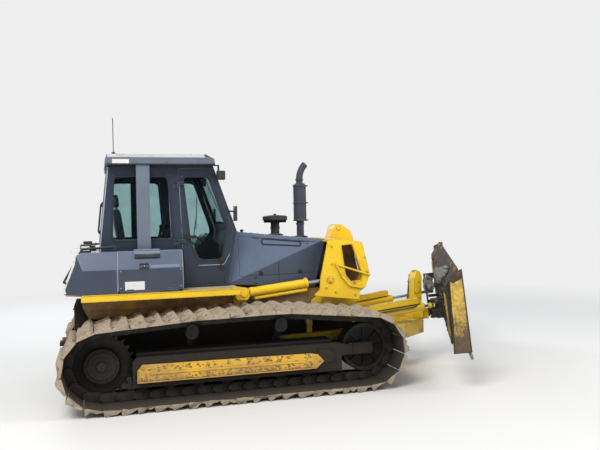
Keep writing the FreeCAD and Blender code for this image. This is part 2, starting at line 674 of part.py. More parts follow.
def cab_glass():
    side = prism_y(SIDE_WINDOW, PANE_IN, PANE_IN + PANE)
    return Part.makeCompound([side, mirror(side), pane_along(FRONT_LOW, FRONT_HIGH, FRONT_HALF, -20.0),
                              pane_along(REAR_LOW, REAR_HIGH, REAR_WINDOW_HALF, 16.0)])


ROOF_OUTLINE = ((-1530.0, ROOF_LOW_Z), (-1545.0, ROOF_LOW_Z + 60), (-1520.0, ROOF_TOP_Z),
                (-330.0, ROOF_TOP_Z), (-215.0, ROOF_TOP_Z - 60), (-205.0, ROOF_LOW_Z))
ROOF_BEVEL = 45.0


def cab_roof():
    roof = prism_y(ROOF_OUTLINE, -ROOF_HALF, ROOF_HALF)
    wedge = ((ROOF_HALF - ROOF_BEVEL, ROOF_TOP_Z + 1), (ROOF_HALF + 1, ROOF_TOP_Z - ROOF_BEVEL),
             (ROOF_HALF + 1, ROOF_TOP_Z + 1))
    for sign in (-1, 1):
        bevel = prism_x(wedge, CAB_REAR_X - 70, 0)
        roof = roof.cut(on_side(bevel, sign))
    return roof


FLOOR_Z = PLATFORM_Z + CAB_WALL
SEAT_X = -1080.0
SEAT_HALF = 240.0
PEDESTAL_HALF = 190.0
PEDESTAL_Z = FLOOR_Z + 260
SEAT_PAN_Z = FLOOR_Z + 300
CUSHION_TOP_Z = FLOOR_Z + 430
BACKREST_TOP_Z = FLOOR_Z + 1000
HEADREST_TOP_Z = FLOOR_Z + 1180
HEADREST_HALF = 140.0
BACKREST = ((SEAT_X - 330, CUSHION_TOP_Z), (SEAT_X - 200, CUSHION_TOP_Z),
            (SEAT_X - 280, BACKREST_TOP_Z), (SEAT_X - 380, BACKREST_TOP_Z))
CONSOLE_TOP_Z = FLOOR_Z + 520
CONSOLE_IN = 300.0
CONSOLE_OUT = 480.0
LEVER_Y = (CONSOLE_IN + CONSOLE_OUT) / 2
LEVER_R = 22.0
DASH = ((-330.0, FLOOR_Z), (-120.0, FLOOR_Z), (-90.0, FLOOR_Z + 480), (-230.0, FLOOR_Z + 640),
        (-330.0, FLOOR_Z + 500))
DASH_HALF = 330.0


def seat_base():
    """Pedestal on the cab's floor and the pan that carries the cushion."""
    pedestal = box(SEAT_X - 200, SEAT_X + 200, -PEDESTAL_HALF, PEDESTAL_HALF, FLOOR_Z, PEDESTAL_Z)
    pan = box(SEAT_X - 240, SEAT_X + 240, -SEAT_HALF, SEAT_HALF, PEDESTAL_Z, SEAT_PAN_Z)
    return fuse(pedestal, pan)


def seat_cushion():
    """Seat cushion, backrest and headrest."""
    low = SEAT_PAN_Z + RUN_GAP
    cushion = box(SEAT_X - 240, SEAT_X + 260, -SEAT_HALF - 10, SEAT_HALF + 10, low, CUSHION_TOP_Z)
    back = prism_y(BACKREST, -SEAT_HALF, SEAT_HALF)
    link = box(BACKREST[0][0], BACKREST[1][0], -SEAT_HALF, SEAT_HALF, low, CUSHION_TOP_Z)
    head = box(SEAT_X - 375, SEAT_X - 290, -HEADREST_HALF, HEADREST_HALF, BACKREST_TOP_Z, HEADREST_TOP_Z)
    return fuse(cushion, link, back, head)


def controls():
    """Armrest consoles beside the seat, the dashboard and the control levers."""
    console = box(SEAT_X - 150, SEAT_X + 330, CONSOLE_IN, CONSOLE_OUT, FLOOR_Z, CONSOLE_TOP_Z)
    lever_foot = (SEAT_X + 250, LEVER_Y, CONSOLE_TOP_Z)
    lever_tip = (SEAT_X + 290, LEVER_Y, CONSOLE_TOP_Z + 180)
    side = fuse(console, rod_between(lever_foot, lever_tip, LEVER_R))
    dash = prism_y(DASH, -DASH_HALF, DASH_HALF)
    return Part.makeCompound([side, mirror(side), dash])


# Hood: corner points of a side, X, Y, Z
HOOD_REAR_TOP = V(HOOD_REAR_X, CAB_HALF - 250, 2030.0)
HOOD_REAR_LOW = V(-45.0, CAB_HALF - 70, 1345.0)
HOOD_FRONT_TOP = V(1372.0, 440.0, 1894.0)
HOOD_FRONT_LOW = V(1190.0, 500.0, 1245.0)
DOOR_X0 = 130.0
DOOR_X1 = 1240.0
ENGINE_DOOR_LOW = 1440.0
DOOR_REAR_TOP_Z = 1965.0
DOOR_FRONT_TOP_Z = 1860.0


def facets(faces):
    shell = Part.Shell([Part.Face(Part.makePolygon(list(f) + [f[0]])) for f in faces])
    return Part.Solid(shell)


def hood_block(inward):
    """The hood's outer form, brought inwards by a wall."""
    corners = (HOOD_REAR_TOP, HOOD_REAR_LOW, HOOD_FRONT_TOP, HOOD_FRONT_LOW)
    a, b, c, d = (V(p.x, p.y - inward, p.z) for p in corners)
    for p in (a, c):
        p.z -= inward
    m = [V(p.x, -p.y, p.z) for p in (a, b, c, d)]
    faces = [(a, c, b), (b, c, d), (m[0], m[1], m[2]), (m[1], m[3], m[2]),
             (a, m[0], m[2], c), (b, d, m[3], m[1]), (a, b, m[1], m[0]), (c, m[2], m[3], d)]
    solid = facets(faces)
    if solid.Volume < 0:
        solid.reverse()
    return solid


def hood_walls():
    outer = hood_block(0.0)
    inner = hood_block(HOOD_WALL)
    # the core runs out through the bottom and both ends
    return outer.cut(inner)


def door_region(grow):
    low = ENGINE_DOOR_LOW - grow
    outline = ((DOOR_X0 - grow, low), (DOOR_X1 + grow - 40, low),
               (DOOR_X1 + grow, DOOR_FRONT_TOP_Z + grow), (DOOR_X0 - grow, DOOR_REAR_TOP_Z + grow))
    return prism_y(outline, 300.0, 700.0)


HINGE_R = 8.0
# along the lid's upper edge from its rear end: start of the hood's knuckle, start of the lid's knuckle
LID_HINGES = ((220.0, 280.3), (880.0, 940.3))
HINGE_LENGTH = 60.0


def lid_hinge(start, on_lid):
    """One knuckle with its leaf on the hood's side face, above the lid's upper edge or on the lid."""
    out = (HOOD_FRONT_TOP - HOOD_REAR_TOP).cross(HOOD_REAR_LOW - HOOD_REAR_TOP)
    out.normalize()
    rear = on_hood_side(DOOR_X0, DOOR_REAR_TOP_Z + SEAM / 2)
    run = on_hood_side(DOOR_X1, DOOR_FRONT_TOP_Z + SEAM / 2) - rear
    run.normalize()
    down = out.cross(run)
    if down.z > 0:
        down = down * -1
    if not on_lid:
        down = down * -1
    a = rear + run * start
    b = a + run * HINGE_LENGTH
    axis = a + out * (HINGE_R + 1)
    knuckle = Part.makeCylinder(HINGE_R, HINGE_LENGTH, axis, run)
    corners = [a + down * 3, b + down * 3, b + down * 32, a + down * 32]
    leaf = Part.Face(Part.makePolygon(corners + [corners[0]])).extrude(out * 6)
    rib = [a + down * 3, a + down * 12, a + down * 6 + out * 9, a + down * 3 + out * 9]
    web = Part.Face(Part.makePolygon(rib + [rib[0]]))
    return leaf.fuse([knuckle, web.extrude(run * HINGE_LENGTH)])


def on_hood_side(x, z):
    """The point of the hood's upper side face at x and z."""
    a, b, c = HOOD_REAR_TOP, HOOD_REAR_LOW, HOOD_FRONT_TOP
    n = (b - a).cross(c - a)
    return V(x, a.y - (n.x * (x - a.x) + n.z * (z - a.z)) / n.y, z)


def engine_door():
    lid = hood_walls().common(door_region(0.0))
    return lid.fuse([lid_hinge(s, True) for _, s in LID_HINGES])


def hood():
    walls = hood_walls()
    for sign in (-1, 1):
        walls = walls.cut(on_side(door_region(SEAM), sign))
    # open below for the engine, open in front for the radiator
    walls = walls.cut(box(-200, 1400, -460, 460, 1200, 1500))
    knuckles = [on_side(lid_hinge(s, False), sign) for s, _ in LID_HINGES for sign in (-1, 1)]
    # the rear lower corners stand on the walkways
    foot = box(-30.0, 30.0, HOOD_REAR_LOW.y - 40, HOOD_REAR_LOW.y - 10, PLATFORM_Z, PLATFORM_Z + 25)
    feet = [foot, mirror(foot)]
    return walls.fuse(knuckles + feet)


def engine():
    return box(ENGINE_REAR_X, ENGINE_FRONT_X, -ENGINE_HALF + 20, ENGINE_HALF - 20, BELLY_TOP_Z, 1640.0)


def hood_top_at(x):
    rear, front = HOOD_REAR_TOP, HOOD_FRONT_TOP
    return rear.z + (front.z - rear.z) * (x - rear.x) / (front.x - rear.x)


EXHAUST_X = 1150.0
EXHAUST_FOOT_R = 52.0
EXHAUST_PIPE_R = 48.0
MUFFLER_R = 92.0
MUFFLER_LOW_Z = 2150.0
MUFFLER_TOP_Z = 2670.0
EXHAUST_BEND_Z = 2755.0
EXHAUST_BEND_R = 300.0


def exhaust():
    foot_z = hood_top_at(EXHAUST_X) - 20
    foot = Part.makeCylinder(EXHAUST_FOOT_R, MUFFLER_LOW_Z - foot_z, V(EXHAUST_X, 0, foot_z))
    base = foot.cut(hood_block(0.0))
    body = Part.makeCylinder(MUFFLER_R, MUFFLER_TOP_Z - MUFFLER_LOW_Z, V(EXHAUST_X, 0, MUFFLER_LOW_Z))
    neck = Part.makeCylinder(EXHAUST_PIPE_R, EXHAUST_BEND_Z - MUFFLER_TOP_Z, V(EXHAUST_X, 0, MUFFLER_TOP_Z))
    circle = Part.makeCircle(EXHAUST_PIPE_R, V(EXHAUST_X, 0, EXHAUST_BEND_Z), V(0, 0, 1))
    centre = V(EXHAUST_X + EXHAUST_BEND_R, 0, EXHAUST_BEND_Z)
    bend = Part.Face(Part.Wire(circle)).revolve(centre, V(0, 1, 0), 45.0)
    return fuse(base, body, neck, bend)


PRECLEANER_X = 775.0
PRECLEANER_TOP_Z = 2225.0
PRECLEANER_CAP = 55.0
PRECLEANER_CAP_R = 175.0
PRECLEANER_CONE = 40.0
PRECLEANER_CONE_R = 150.0
PRECLEANER_STEM_R = 62.0


def precleaner():
    foot_z = hood_top_at(PRECLEANER_X) - 20
    cap_z = PRECLEANER_TOP_Z - PRECLEANER_CAP
    cone_z = cap_z - PRECLEANER_CONE
    stem = Part.makeCylinder(PRECLEANER_STEM_R, cone_z - foot_z, V(PRECLEANER_X, 0, foot_z))
    cone = Part.makeCone(PRECLEANER_STEM_R, PRECLEANER_CONE_R, PRECLEANER_CONE, V(PRECLEANER_X, 0, cone_z))
    cap = Part.makeCylinder(PRECLEANER_CAP_R, PRECLEANER_CAP, V(PRECLEANER_X, 0, cap_z))
    return fuse(stem.cut(hood_block(0.0)), cone, cap)


# Radiator guard: outer side plates, and lower plates and bearing cheeks that hold the lever shaft
GUARD_IN = 700.0
GUARD_OUT = 720.0
GUARD_WALL = 22.0
GUARD_REAR_X = 1320.0
GUARD_KNEE = (1560.0, 1893.0)
GUARD_BROW = (1813.0, 1847.0)
GUARD_NOSE = (1921.0, 1400.0)
GUARD_CHIN = (1846.0, 1222.0)
GUARD_SIDE = ((GUARD_REAR_X, 1885.0), GUARD_KNEE, GUARD_BROW, GUARD_NOSE, GUARD_CHIN, (1765.0, 1172.0),
              (1765.0, 1060.0), (1120.0, 1145.0), (1130.0, 1170.0), (1195.0, 1225.0), (1209.0, 1389.0))
GUARD_OPENING = ((1515.0, 1808.0), (1667.0, 1817.0), (1806.0, 1400.0), (1790.0, 1330.0),
                 (1640.0, 1318.0), (1571.0, 1406.0))
# narrow housing on the middle of the guard's top, over its front edge
HUMP = ((1562.0, 1880.0), (1609.0, 2035.0), (1637.0, 2078.0), (1682.0, 2092.0), (1737.0, 2088.0),
        (1861.0, 1997.0), (1905.0, 1900.0), (1912.0, 1849.0), (GUARD_BROW[0], GUARD_BROW[1] - 12))
HUMP_HALF = 130.0
FRONT_LOW_Z = 1290.0
FRONT_HIGH_Z = 1780.0
CHEEK_OUT = HULL_HALF + 20
CHEEK_REAR_X = 1180.0
SHROUD_IN = HULL_HALF - 8
WEB_X0 = 1640.0
WEB_X1 = 1700.0
GUARD_FLOOR_Z = 1160.0
GUARD_LOW_Z = RAIL_TOP_Z + 5
SHAFT_R = 40.0
LINK_PIN_R = 20.0
PIN_COVER_R = 48.0
PIN_COVER = 14.0
PIN_CAP_R = 24.0
PIN_CAP = 10.0
SHROUD = ((1500.0, GUARD_FLOOR_Z), (FRAME_NOSE_X, GUARD_FLOOR_Z), (1815.0, 1235.0), (1870.0, 1390.0),
          (1775.0, 1800.0), (1500.0, 1800.0))


def guard_side():
    """Outer plate with its opening, its stiffening rim and the round cover over the rod's pin."""
    plate = prism_y(GUARD_SIDE, GUARD_IN, GUARD_OUT)
    plate = plate.cut(prism_y(GUARD_OPENING, GUARD_IN - 1, GUARD_OUT + 1))
    boss = rod_y(*ROD_PIN, PIN_COVER_R, GUARD_OUT, GUARD_OUT + PIN_COVER)
    cap = rod_y(*ROD_PIN, PIN_CAP_R, GUARD_OUT + PIN_COVER, GUARD_OUT + PIN_COVER + PIN_CAP)
    return plate.fuse([boss, cap])


def guard_lower_plates():
    """Plate in front of the stepped skirt, and the bearing cheek inside it."""
    shaft_hole = rod_y(*LEVER_PIVOT, SHAFT_R + PIN_CLEAR, HULL_HALF - 1, SKIRT_OUT + 1)
    outline = ((FRAME_NOSE_X, GUARD_LOW_Z), (FRAME_NOSE_X, DECK_Z - 5), (SKIRT_FRONT_X + 5, DECK_Z - 5),
               *((x + 5, z - 5) for x, z in reversed(SKIRT_STEP)), (SKIRT_STEP[0][0] + 5, GUARD_LOW_Z))
    plate = prism_y(outline, SKIRT_IN, SKIRT_OUT)
    cheek = box(CHEEK_REAR_X, WEB_X1, HULL_HALF, CHEEK_OUT, GUARD_LOW_Z, GUARD_FLOOR_Z)
    return [plate.cut(shaft_hole), cheek.cut(shaft_hole)]


def radiator_guard():
    """Top, hump and front between the side plates, on a box that stands on the frame's nose."""
    pieces = []
    skirt_in = SKIRT_IN - 1
    skirt_out = SKIRT_OUT + 1
    for sign in (-1, 1):
        web = box(WEB_X0, WEB_X1, CHEEK_OUT, SKIRT_IN, GUARD_LOW_Z, GUARD_FLOOR_Z)
        step = box(WEB_X0, WEB_X1, SKIRT_OUT, GUARD_IN, GUARD_FLOOR_Z - 60, GUARD_FLOOR_Z)
        bridge = box(WEB_X0, WEB_X1, HULL_HALF - 20, GUARD_IN, GUARD_FLOOR_Z, GUARD_FLOOR_Z + 15)
        bridge = bridge.cut(box(WEB_X0 - 1, WEB_X1 + 1, skirt_in, skirt_out, GUARD_LOW_Z, DECK_Z))
        outer_bridge = box(WEB_X0, WEB_X1, skirt_in, skirt_out, DECK_Z - 5, DECK_Z + 10)
        risers = [box(WEB_X0, WEB_X1, y0, y0 + 8, GUARD_FLOOR_Z, DECK_Z + 10)
                  for y0 in (skirt_in - 8, skirt_out)]
        shroud = prism_y(SHROUD, SHROUD_IN, HULL_HALF)
        for piece in [web, step, bridge, outer_bridge, shroud] + risers:
            pieces.append(on_side(piece, sign))
    (knee_x, knee_z), (brow_x, brow_z), (nose_x, nose_z) = GUARD_KNEE, GUARD_BROW, GUARD_NOSE
    rear_z = GUARD_SIDE[0][1]
    top = prism_y(((GUARD_REAR_X, rear_z - GUARD_WALL), (knee_x, knee_z - GUARD_WALL),
                   (brow_x - 5, brow_z - GUARD_WALL), GUARD_BROW, GUARD_KNEE, (GUARD_REAR_X, rear_z)),
                  -GUARD_IN, GUARD_IN)
    # the hood's front end reaches in between
    room_half = HOOD_FRONT_TOP.y + 35
    top = top.cut(box(GUARD_REAR_X - 1, HOOD_FRONT_TOP.x + 6, -room_half, room_half,
                      rear_z - 100, rear_z + 10))
    hump = prism_y(HUMP, -HUMP_HALF, HUMP_HALF)
    front = prism_y((GUARD_BROW, GUARD_NOSE, GUARD_CHIN, (GUARD_CHIN[0] - 24, GUARD_CHIN[1] + 6),
                     (nose_x - 30, nose_z - 2), (brow_x - 28, brow_z - 2)), -GUARD_IN, GUARD_IN)
    front = front.cut(box(knee_x, nose_x + 10, -HULL_HALF, HULL_HALF, FRONT_LOW_Z, FRONT_HIGH_Z))
    lower = box(WEB_X0, FRAME_NOSE_X, -HULL_HALF, HULL_HALF, RAIL_TOP_Z, GUARD_FLOOR_Z)
    return pieces[0].fuse(pieces[1:] + [top, hump, front, lower]).removeSplitter()


GRILLE_BAR = ((1799.0, FRONT_HIGH_Z - RUN_GAP), (1814.0, FRONT_HIGH_Z - RUN_GAP), (1904.0, 1400.0),
              (1857.0, FRONT_LOW_Z + RUN_GAP), (1842.0, FRONT_LOW_Z + RUN_GAP), (1888.0, 1400.0))


def grille():
    """Upright bars and two level ones that stand in the guard's front opening."""
    bars = [prism_y(GRILLE_BAR, y - 6, y + 6) for y in range(-400, 401, 100)]
    (low_x, low_z), (high_x, high_z) = GRILLE_BAR[5], GRILLE_BAR[0]
    for z in (1400.0, 1590.0):
        x = low_x + (high_x - low_x) * (z - low_z) / (high_z - low_z)
        bars.append(box(x, x + 10, -HULL_HALF + RUN_GAP, HULL_HALF - RUN_GAP, z - 8, z + 8))
    return bars[0].fuse(bars[1:]).removeSplitter()


def radiator_core():
    half = SHROUD_IN - RUN_GAP
    return box(1530.0, WEB_X0 - 10, -half, half, GUARD_FLOOR_Z, 1800.0)


# Lift linkage
LEVER_IN = 495.0
LEVER_OUT = SKIRT_OUT + 33.0


def lift_levers():
    """Both bell cranks on their cross shaft: the rod's arm outside the guard, the link's arm inside."""
    solids = [rod_y(*LEVER_PIVOT, SHAFT_R, -HULL_HALF - 190, HULL_HALF + 190)]
    for sign in (-1, 1):
        inner = arm_plate(LEVER_PIVOT, LEVER_TIP, 75.0, 45.0, LEVER_IN, LEVER_IN + 50)
        inner = inner.cut(rod_y(*LEVER_TIP, LINK_PIN_R + PIN_CLEAR, LEVER_IN - 1, LEVER_IN + 51))
        outer = arm_plate(LEVER_PIVOT, ROD_PIN, 70.0, 50.0, SKIRT_OUT + 5, LEVER_OUT)
        solids.append(on_side(inner, sign))
        solids.append(on_side(outer, sign))
    return solids[0].fuse(solids[1:]).removeSplitter()


def arm_plate(a, b, ra, rb, y0, y1):
    """A flat arm with round ends on two pins."""
    (ax, az), (bx, bz) = a, b
    length = math.dist(a, b)
    nx, nz = -(bz - az) / length, (bx - ax) / length
    web = prism_y(((ax + nx * ra, az + nz * ra), (ax - nx * ra, az - nz * ra),
                   (bx - nx * rb, bz - nz * rb), (bx + nx * rb, bz + nz * rb)), y0, y1)
    return fuse(web, rod_y(ax, az, ra, y0, y1), rod_y(bx, bz, rb, y0, y1))


def lift_link():
    """Two straps from the lever's tip down to the push arm's ear, joined half-way."""
    straps = [arm_plate(LEVER_TIP, ARM_EYE, 40.0, 40.0, y0, y0 + 12) for y0 in (478.0, 550.0)]
    mid = ((LEVER_TIP[0] + ARM_EYE[0]) / 2, (LEVER_TIP[1] + ARM_EYE[1]) / 2)
    bar = rod_y(mid[0], mid[1], 18.0, 480.0, 560.0)
    pin = rod_y(*LEVER_TIP, LINK_PIN_R, 478.0, 562.0)
    return fuse(straps[0], straps[1], bar, pin)


def along(a, b, distance):
    length = math.dist(a, b)
    return tuple(p + (q - p) * distance / length for p, q in zip(a, b))


LIFT_BARREL_LENGTH = 885.0
LIFT_WALL = 12.0
LIFT_REAR_PIN_R = 20.0
SUPPLY_DROP = 88.0
SUPPLY_R = 26.0
END_WALL = 30.0
GLAND = 40.0


def cylinder_tube(a, b, start, end, outer_r, wall, rod_r):
    """A cylinder's tube on the line a-b, closed behind, with the rod's hole in its front end."""
    tube = rod_between(along(a, b, start), along(a, b, end), outer_r)
    bore = rod_between(along(a, b, start + END_WALL), along(a, b, end - GLAND), outer_r - wall)
    hole = rod_between(along(a, b, end - GLAND - 1), along(a, b, end + 1), rod_r + PIN_CLEAR)
    return tube.cut(bore).cut(hole)


def lift_barrel():
    a = (BARREL_PIN[0], LIFT_CYL_Y, BARREL_PIN[1])
    b = (ROD_PIN[0], LIFT_CYL_Y, ROD_PIN[1])
    solid = cylinder_tube(a, b, 75.0, LIFT_BARREL_LENGTH, LIFT_CYL_R, LIFT_WALL, LIFT_ROD_R)
    eye = rod_y(*BARREL_PIN, 45.0, LIFT_CYL_Y - 20, LIFT_CYL_Y + 20)
    neck = rod_between(along(a, b, 30.0), along(a, b, 80.0), 20.0)
    # oil tube under the barrel, on two stays
    low_a, low_b = (tuple(V(*p) - V(0, 0, SUPPLY_DROP)) for p in (a, b))
    tube_end = along(low_a, low_b, LIFT_BARREL_LENGTH - 10)
    tube = rod_between(along(low_a, low_b, 150.0), tube_end, SUPPLY_R)
    stays = []
    for s in (190.0, LIFT_BARREL_LENGTH - 50):
        foot = along(low_a, low_b, s)
        stays.append(rod_between(foot, tuple(V(*foot) + V(0, 0, 40)), 14.0))
    solid = solid.fuse([eye, neck, tube] + stays)
    return solid.cut(rod_y(*BARREL_PIN, LIFT_REAR_PIN_R + PIN_CLEAR, LIFT_CYL_Y - 21, LIFT_CYL_Y + 21))


def lift_rod():
    a = (BARREL_PIN[0], LIFT_CYL_Y, BARREL_PIN[1])
    b = (ROD_PIN[0], LIFT_CYL_Y, ROD_PIN[1])
    length = math.dist(a, b)
    rod = rod_between(along(a, b, 420.0), along(a, b, length - 30), LIFT_ROD_R)
    piston = rod_between(along(a, b, 420.0), along(a, b, 470.0), LIFT_CYL_R - LIFT_WALL - RUN_GAP)
    eye = rod_y(*ROD_PIN, 50.0, LEVER_OUT + 5 + RUN_GAP, SKIRT_OUT + 82)
    return fuse(rod, piston, eye)


def lift_bracket():
    """Ears at the walkway's front end that hold the lift barrel's rear pin."""
    x, z = BARREL_PIN
    outline = ((PLATFORM_FRONT_X + 10, PLATFORM_Z - 15), (215.0, 1292.0), (232.0, 1190.0), (205.0, 1140.0),
               (70.0, 1140.0), (PLATFORM_FRONT_X + 10, 1180.0))
    ear_in = LIFT_CYL_Y - 44
    ears = [prism_y(outline, y0, y0 + 18) for y0 in (ear_in, LIFT_CYL_Y + 60)]
    plate = box(PLATFORM_FRONT_X, 62.0, SKIRT_OUT + 5, LIFT_CYL_Y + 78, 1180.0, PLATFORM_Z - 15)
    # stiffener beside the skirt, down to the track's top run
    leg = box(PLATFORM_FRONT_X, 210.0, SKIRT_OUT + 5, ear_in, SKIRT_LOW_Z + 25, 1200.0)
    pin = rod_y(x, z, LIFT_REAR_PIN_R, ear_in, LIFT_CYL_Y + 62)
    return fuse(plate, ears[0], ears[1], leg, pin)


# Push frame
ARM_SLOPE = 0.025
ARM_HALF = 95.0
ARM_HALF_FRONT = 105.0
KNEE_X = 2380.0
NOSE_HALF = 190.0
HOUSING_HALF = 100.0
MAST_HALF = 95.0
# the mast's outline from the ball, X and Z
MAST = ((-240.0, 100.0), (-120.0, 100.0), (-110.0, 550.0), (-145.0, 620.0), (-190.0, 620.0),
        (-230.0, 510.0))


def arm_mid(x):
    return LIFT_PIVOT[1] + (x - LIFT_PIVOT[0]) * ARM_SLOPE


def c_frame():
    """Two arms from the frame pivots to a nose with the ball socket and an upright mast."""
    px, pz = LIFT_PIVOT
    low, high = arm_mid(KNEE_X) - ARM_HALF_FRONT, arm_mid(KNEE_X) + ARM_HALF_FRONT
    nose_rear = BALL[0] - 310
    nose_front = BALL[0] - 140
    pieces = []
    for sign in (-1, 1):
        arm = prism_y(((px, pz - ARM_HALF), (KNEE_X, low), (KNEE_X, high), (px, pz + ARM_HALF)),
                      ARM_IN, ARM_OUT)
        end = rod_y(px, pz, ARM_HALF, ARM_IN, ARM_OUT)
        # the front stretch turns in to the nose
        horn = prism_z(((KNEE_X - 1, ARM_IN), (KNEE_X - 1, ARM_OUT), (KNEE_X + 120, ARM_OUT),
                        (nose_front, NOSE_HALF), (nose_front, 60.0), (nose_rear, 60.0),
                        (KNEE_X + 60, ARM_IN - 60)), low, high)
        ear = arm_plate(ARM_EYE, (ARM_EYE[0], arm_mid(ARM_EYE[0]) + 60), 38.0, 38.0, 497.0, 543.0)
        solid = fuse(arm, end, horn, ear, angle_ear())
        solid = solid.cut(rod_y(px, pz, ARM_PIN_R + PIN_CLEAR, ARM_IN - 1, ARM_OUT + 1))
        pieces.append(on_side(solid, sign))
    nose = box(nose_rear, nose_front, -NOSE_HALF, NOSE_HALF, low, BALL[2] + 125)
    housing = box(nose_front, BALL[0] - 8, -HOUSING_HALF, HOUSING_HALF,
                  BALL[2] - HOUSING_HALF, BALL[2] + HOUSING_HALF)
    mast = prism_y([(BALL[0] + x, BALL[2] + z) for x, z in MAST], -MAST_HALF, MAST_HALF)
    frame = pieces[0].fuse([pieces[1], nose, housing, mast])
    return frame.cut(Part.makeSphere(BALL_R + PIN_CLEAR, V(*BALL)))


# Angle cylinders: rear pin on the arm, front pin on the blade
ANGLE_REAR = (1930.0, 505.0, 790.0)
ANGLE_PIN_OUT = 620.0
ANGLE_PIN_FORE = 120.0
# the cylinders lie in the plane in which the blade swings
ANGLE_PIN_UP = ((ANGLE_REAR[2] - BALL[2]) * math.cos(math.radians(REST_PITCH))
                - (ANGLE_REAR[0] - BALL[0]) * math.sin(math.radians(REST_PITCH)))
ANGLE_CYL_R = 55.0
ANGLE_ROD_R = 27.0


def pitched(shape, place):
    """Brings a shape drawn upright round the origin to a place on the raised push frame."""
    shape.rotate(V(0, 0, 0), V(0, 1, 0), -REST_PITCH)
    shape.translate(V(*place))
    return shape


TRUNNION_HALF = 38.0
TRUNNION_LOW = 61.7
TRUNNION_PIN_R = 24.0
TRUNNION_PIN_UP = 16.0
BARREL_PIN_R = 18.0


def angle_ear():
    """Seat block and upright pin for the angle cylinder's trunnion."""
    y = ANGLE_REAR[1]
    pin = Part.makeCylinder(TRUNNION_PIN_R, TRUNNION_PIN_UP + 10, V(0, 0, -TRUNNION_LOW - 10))
    base = box(-70, 70, ARM_IN - y, ARM_OUT - y, -TRUNNION_LOW - 100, -TRUNNION_LOW - RUN_GAP)
    return pitched(base, ANGLE_REAR).fuse(pitched(pin, ANGLE_REAR))


def angle_trunnion(sign):
    """Cross block that turns on the arm's upright pin and carries the barrel on a level pin."""
    block = box(-TRUNNION_HALF, TRUNNION_HALF, -26, 26, -TRUNNION_LOW, 40)
    socket = Part.makeCylinder(TRUNNION_PIN_R + PIN_CLEAR, TRUNNION_PIN_UP + 2, V(0, 0, -TRUNNION_LOW - 1))
    pin = rod_y(0, 0, BARREL_PIN_R, -54, 54)
    solid = block.fuse(pin).cut(socket)
    solid.rotate(V(0, 0, 0), V(0, 0, 1), angle_yaw(sign))
    return pitched(solid, angle_axis(sign)[0])


def to_machine(fore, side, up):
    """Turns directions of the raised push frame into the machine's."""
    p = math.radians(REST_PITCH)
    return (fore * math.cos(p) - up * math.sin(p), side, fore * math.sin(p) + up * math.cos(p))


def blade_place(fore, side, up):
    """Turns a place given along the blade's own directions into the machine's, at rest."""
    a = math.radians(REST_ANGLE)
    turned_fore = fore * math.cos(a) - side * math.sin(a)
    turned_side = fore * math.sin(a) + side * math.cos(a)
    x, y, z = to_machine(turned_fore, turned_side, up)
    return (BALL[0] + x, BALL[1] + y, BALL[2] + z)


def angle_yaw(sign):
    """Turn of an angle cylinder about its upright pin, in the push frame's plane, in degrees."""
    rear, front = angle_axis(sign)
    p = math.radians(REST_PITCH)
    fore = (front[0] - rear[0]) * math.cos(p) + (front[2] - rear[2]) * math.sin(p)
    return math.degrees(math.atan2(front[1] - rear[1], fore))


def angle_axis(sign):
    rear = (ANGLE_REAR[0], ANGLE_REAR[1] * sign, ANGLE_REAR[2])
    return rear, blade_place(ANGLE_PIN_FORE, ANGLE_PIN_OUT * sign, ANGLE_PIN_UP)


ANGLE_BARREL_LENGTH = 860.0
ANGLE_ROD_LENGTH = 860.0
CHANNEL_START = -60.0
CHANNEL_END = 790.0
CHANNEL_HALF = 52.0
CHANNEL_LOW = 62.0
CHANNEL_TOP = 138.0


def angle_barrel(sign):
    rear, front = angle_axis(sign)
    solid = cylinder_tube(rear, front, 100.0, ANGLE_BARREL_LENGTH, ANGLE_CYL_R, 10.0, ANGLE_ROD_R)
    cheeks = []
    for y0 in (-46.0, 32.0):
        cheek = box(0, 104, y0, y0 + 14, -32, 32).fuse(rod_y(0, 0, 32.0, y0, y0 + 14))
        cheeks.append(cheek.cut(rod_y(0, 0, BARREL_PIN_R + PIN_CLEAR, y0 - 1, y0 + 15)))
    plate = box(82, 104, -46, 46, -32, 32)
    # inverted channel over the barrel, on two stays
    top = box(CHANNEL_START, CHANNEL_END, -CHANNEL_HALF, CHANNEL_HALF, CHANNEL_TOP - 7, CHANNEL_TOP)
    lips = [box(CHANNEL_START, CHANNEL_END, y0, y0 + 6, CHANNEL_LOW, CHANNEL_TOP - 7)
            for y0 in (-CHANNEL_HALF, CHANNEL_HALF - 6)]
    stays = [box(x0, x0 + 25, -20, 20, ANGLE_CYL_R - 5, CHANNEL_TOP - 7) for x0 in (200.0, 700.0)]
    yoke = plate.fuse(cheeks + [top] + lips + stays)
    yoke.rotate(V(0, 0, 0), V(0, 0, 1), angle_yaw(sign))
    return solid.fuse(pitched(yoke, rear))


EYE_HALF = 22.0


def angle_rod(sign):
    rear, front = angle_axis(sign)
    length = math.dist(rear, front)
    rod_start = along(rear, front, length - ANGLE_ROD_LENGTH)
    rod = rod_between(rod_start, along(rear, front, length - 30), ANGLE_ROD_R)
    eye = pitched(Part.makeCylinder(45.0, 2 * EYE_HALF, V(0, 0, -EYE_HALF)), front)
    return rod.fuse(eye)


# Blade carrier: ball, block, tilt stub and the tilt barrel's post
STUB_R = 60.0
CARRIER_FACE = 150.0
TILT_PIN_SIDE = -280.0
TILT_PIN_UP = 400.0
TILT_EYE_SIDE = 620.0
TILT_EYE_UP = 430.0
TILT_FORE = 85.0
TILT_CYL_R = 68.0
TILT_ROD_R = 25.0
TILT_PIN_R = 20.0
POST_FORE = TILT_FORE - 55
POST_PLATE = 24.0


def turned(shape):
    """Brings a shape drawn round the ball, blade straight, to its place at rest."""
    shape.rotate(V(0, 0, 0), V(0, 0, 1), REST_ANGLE)
    return pitched(shape, BALL)


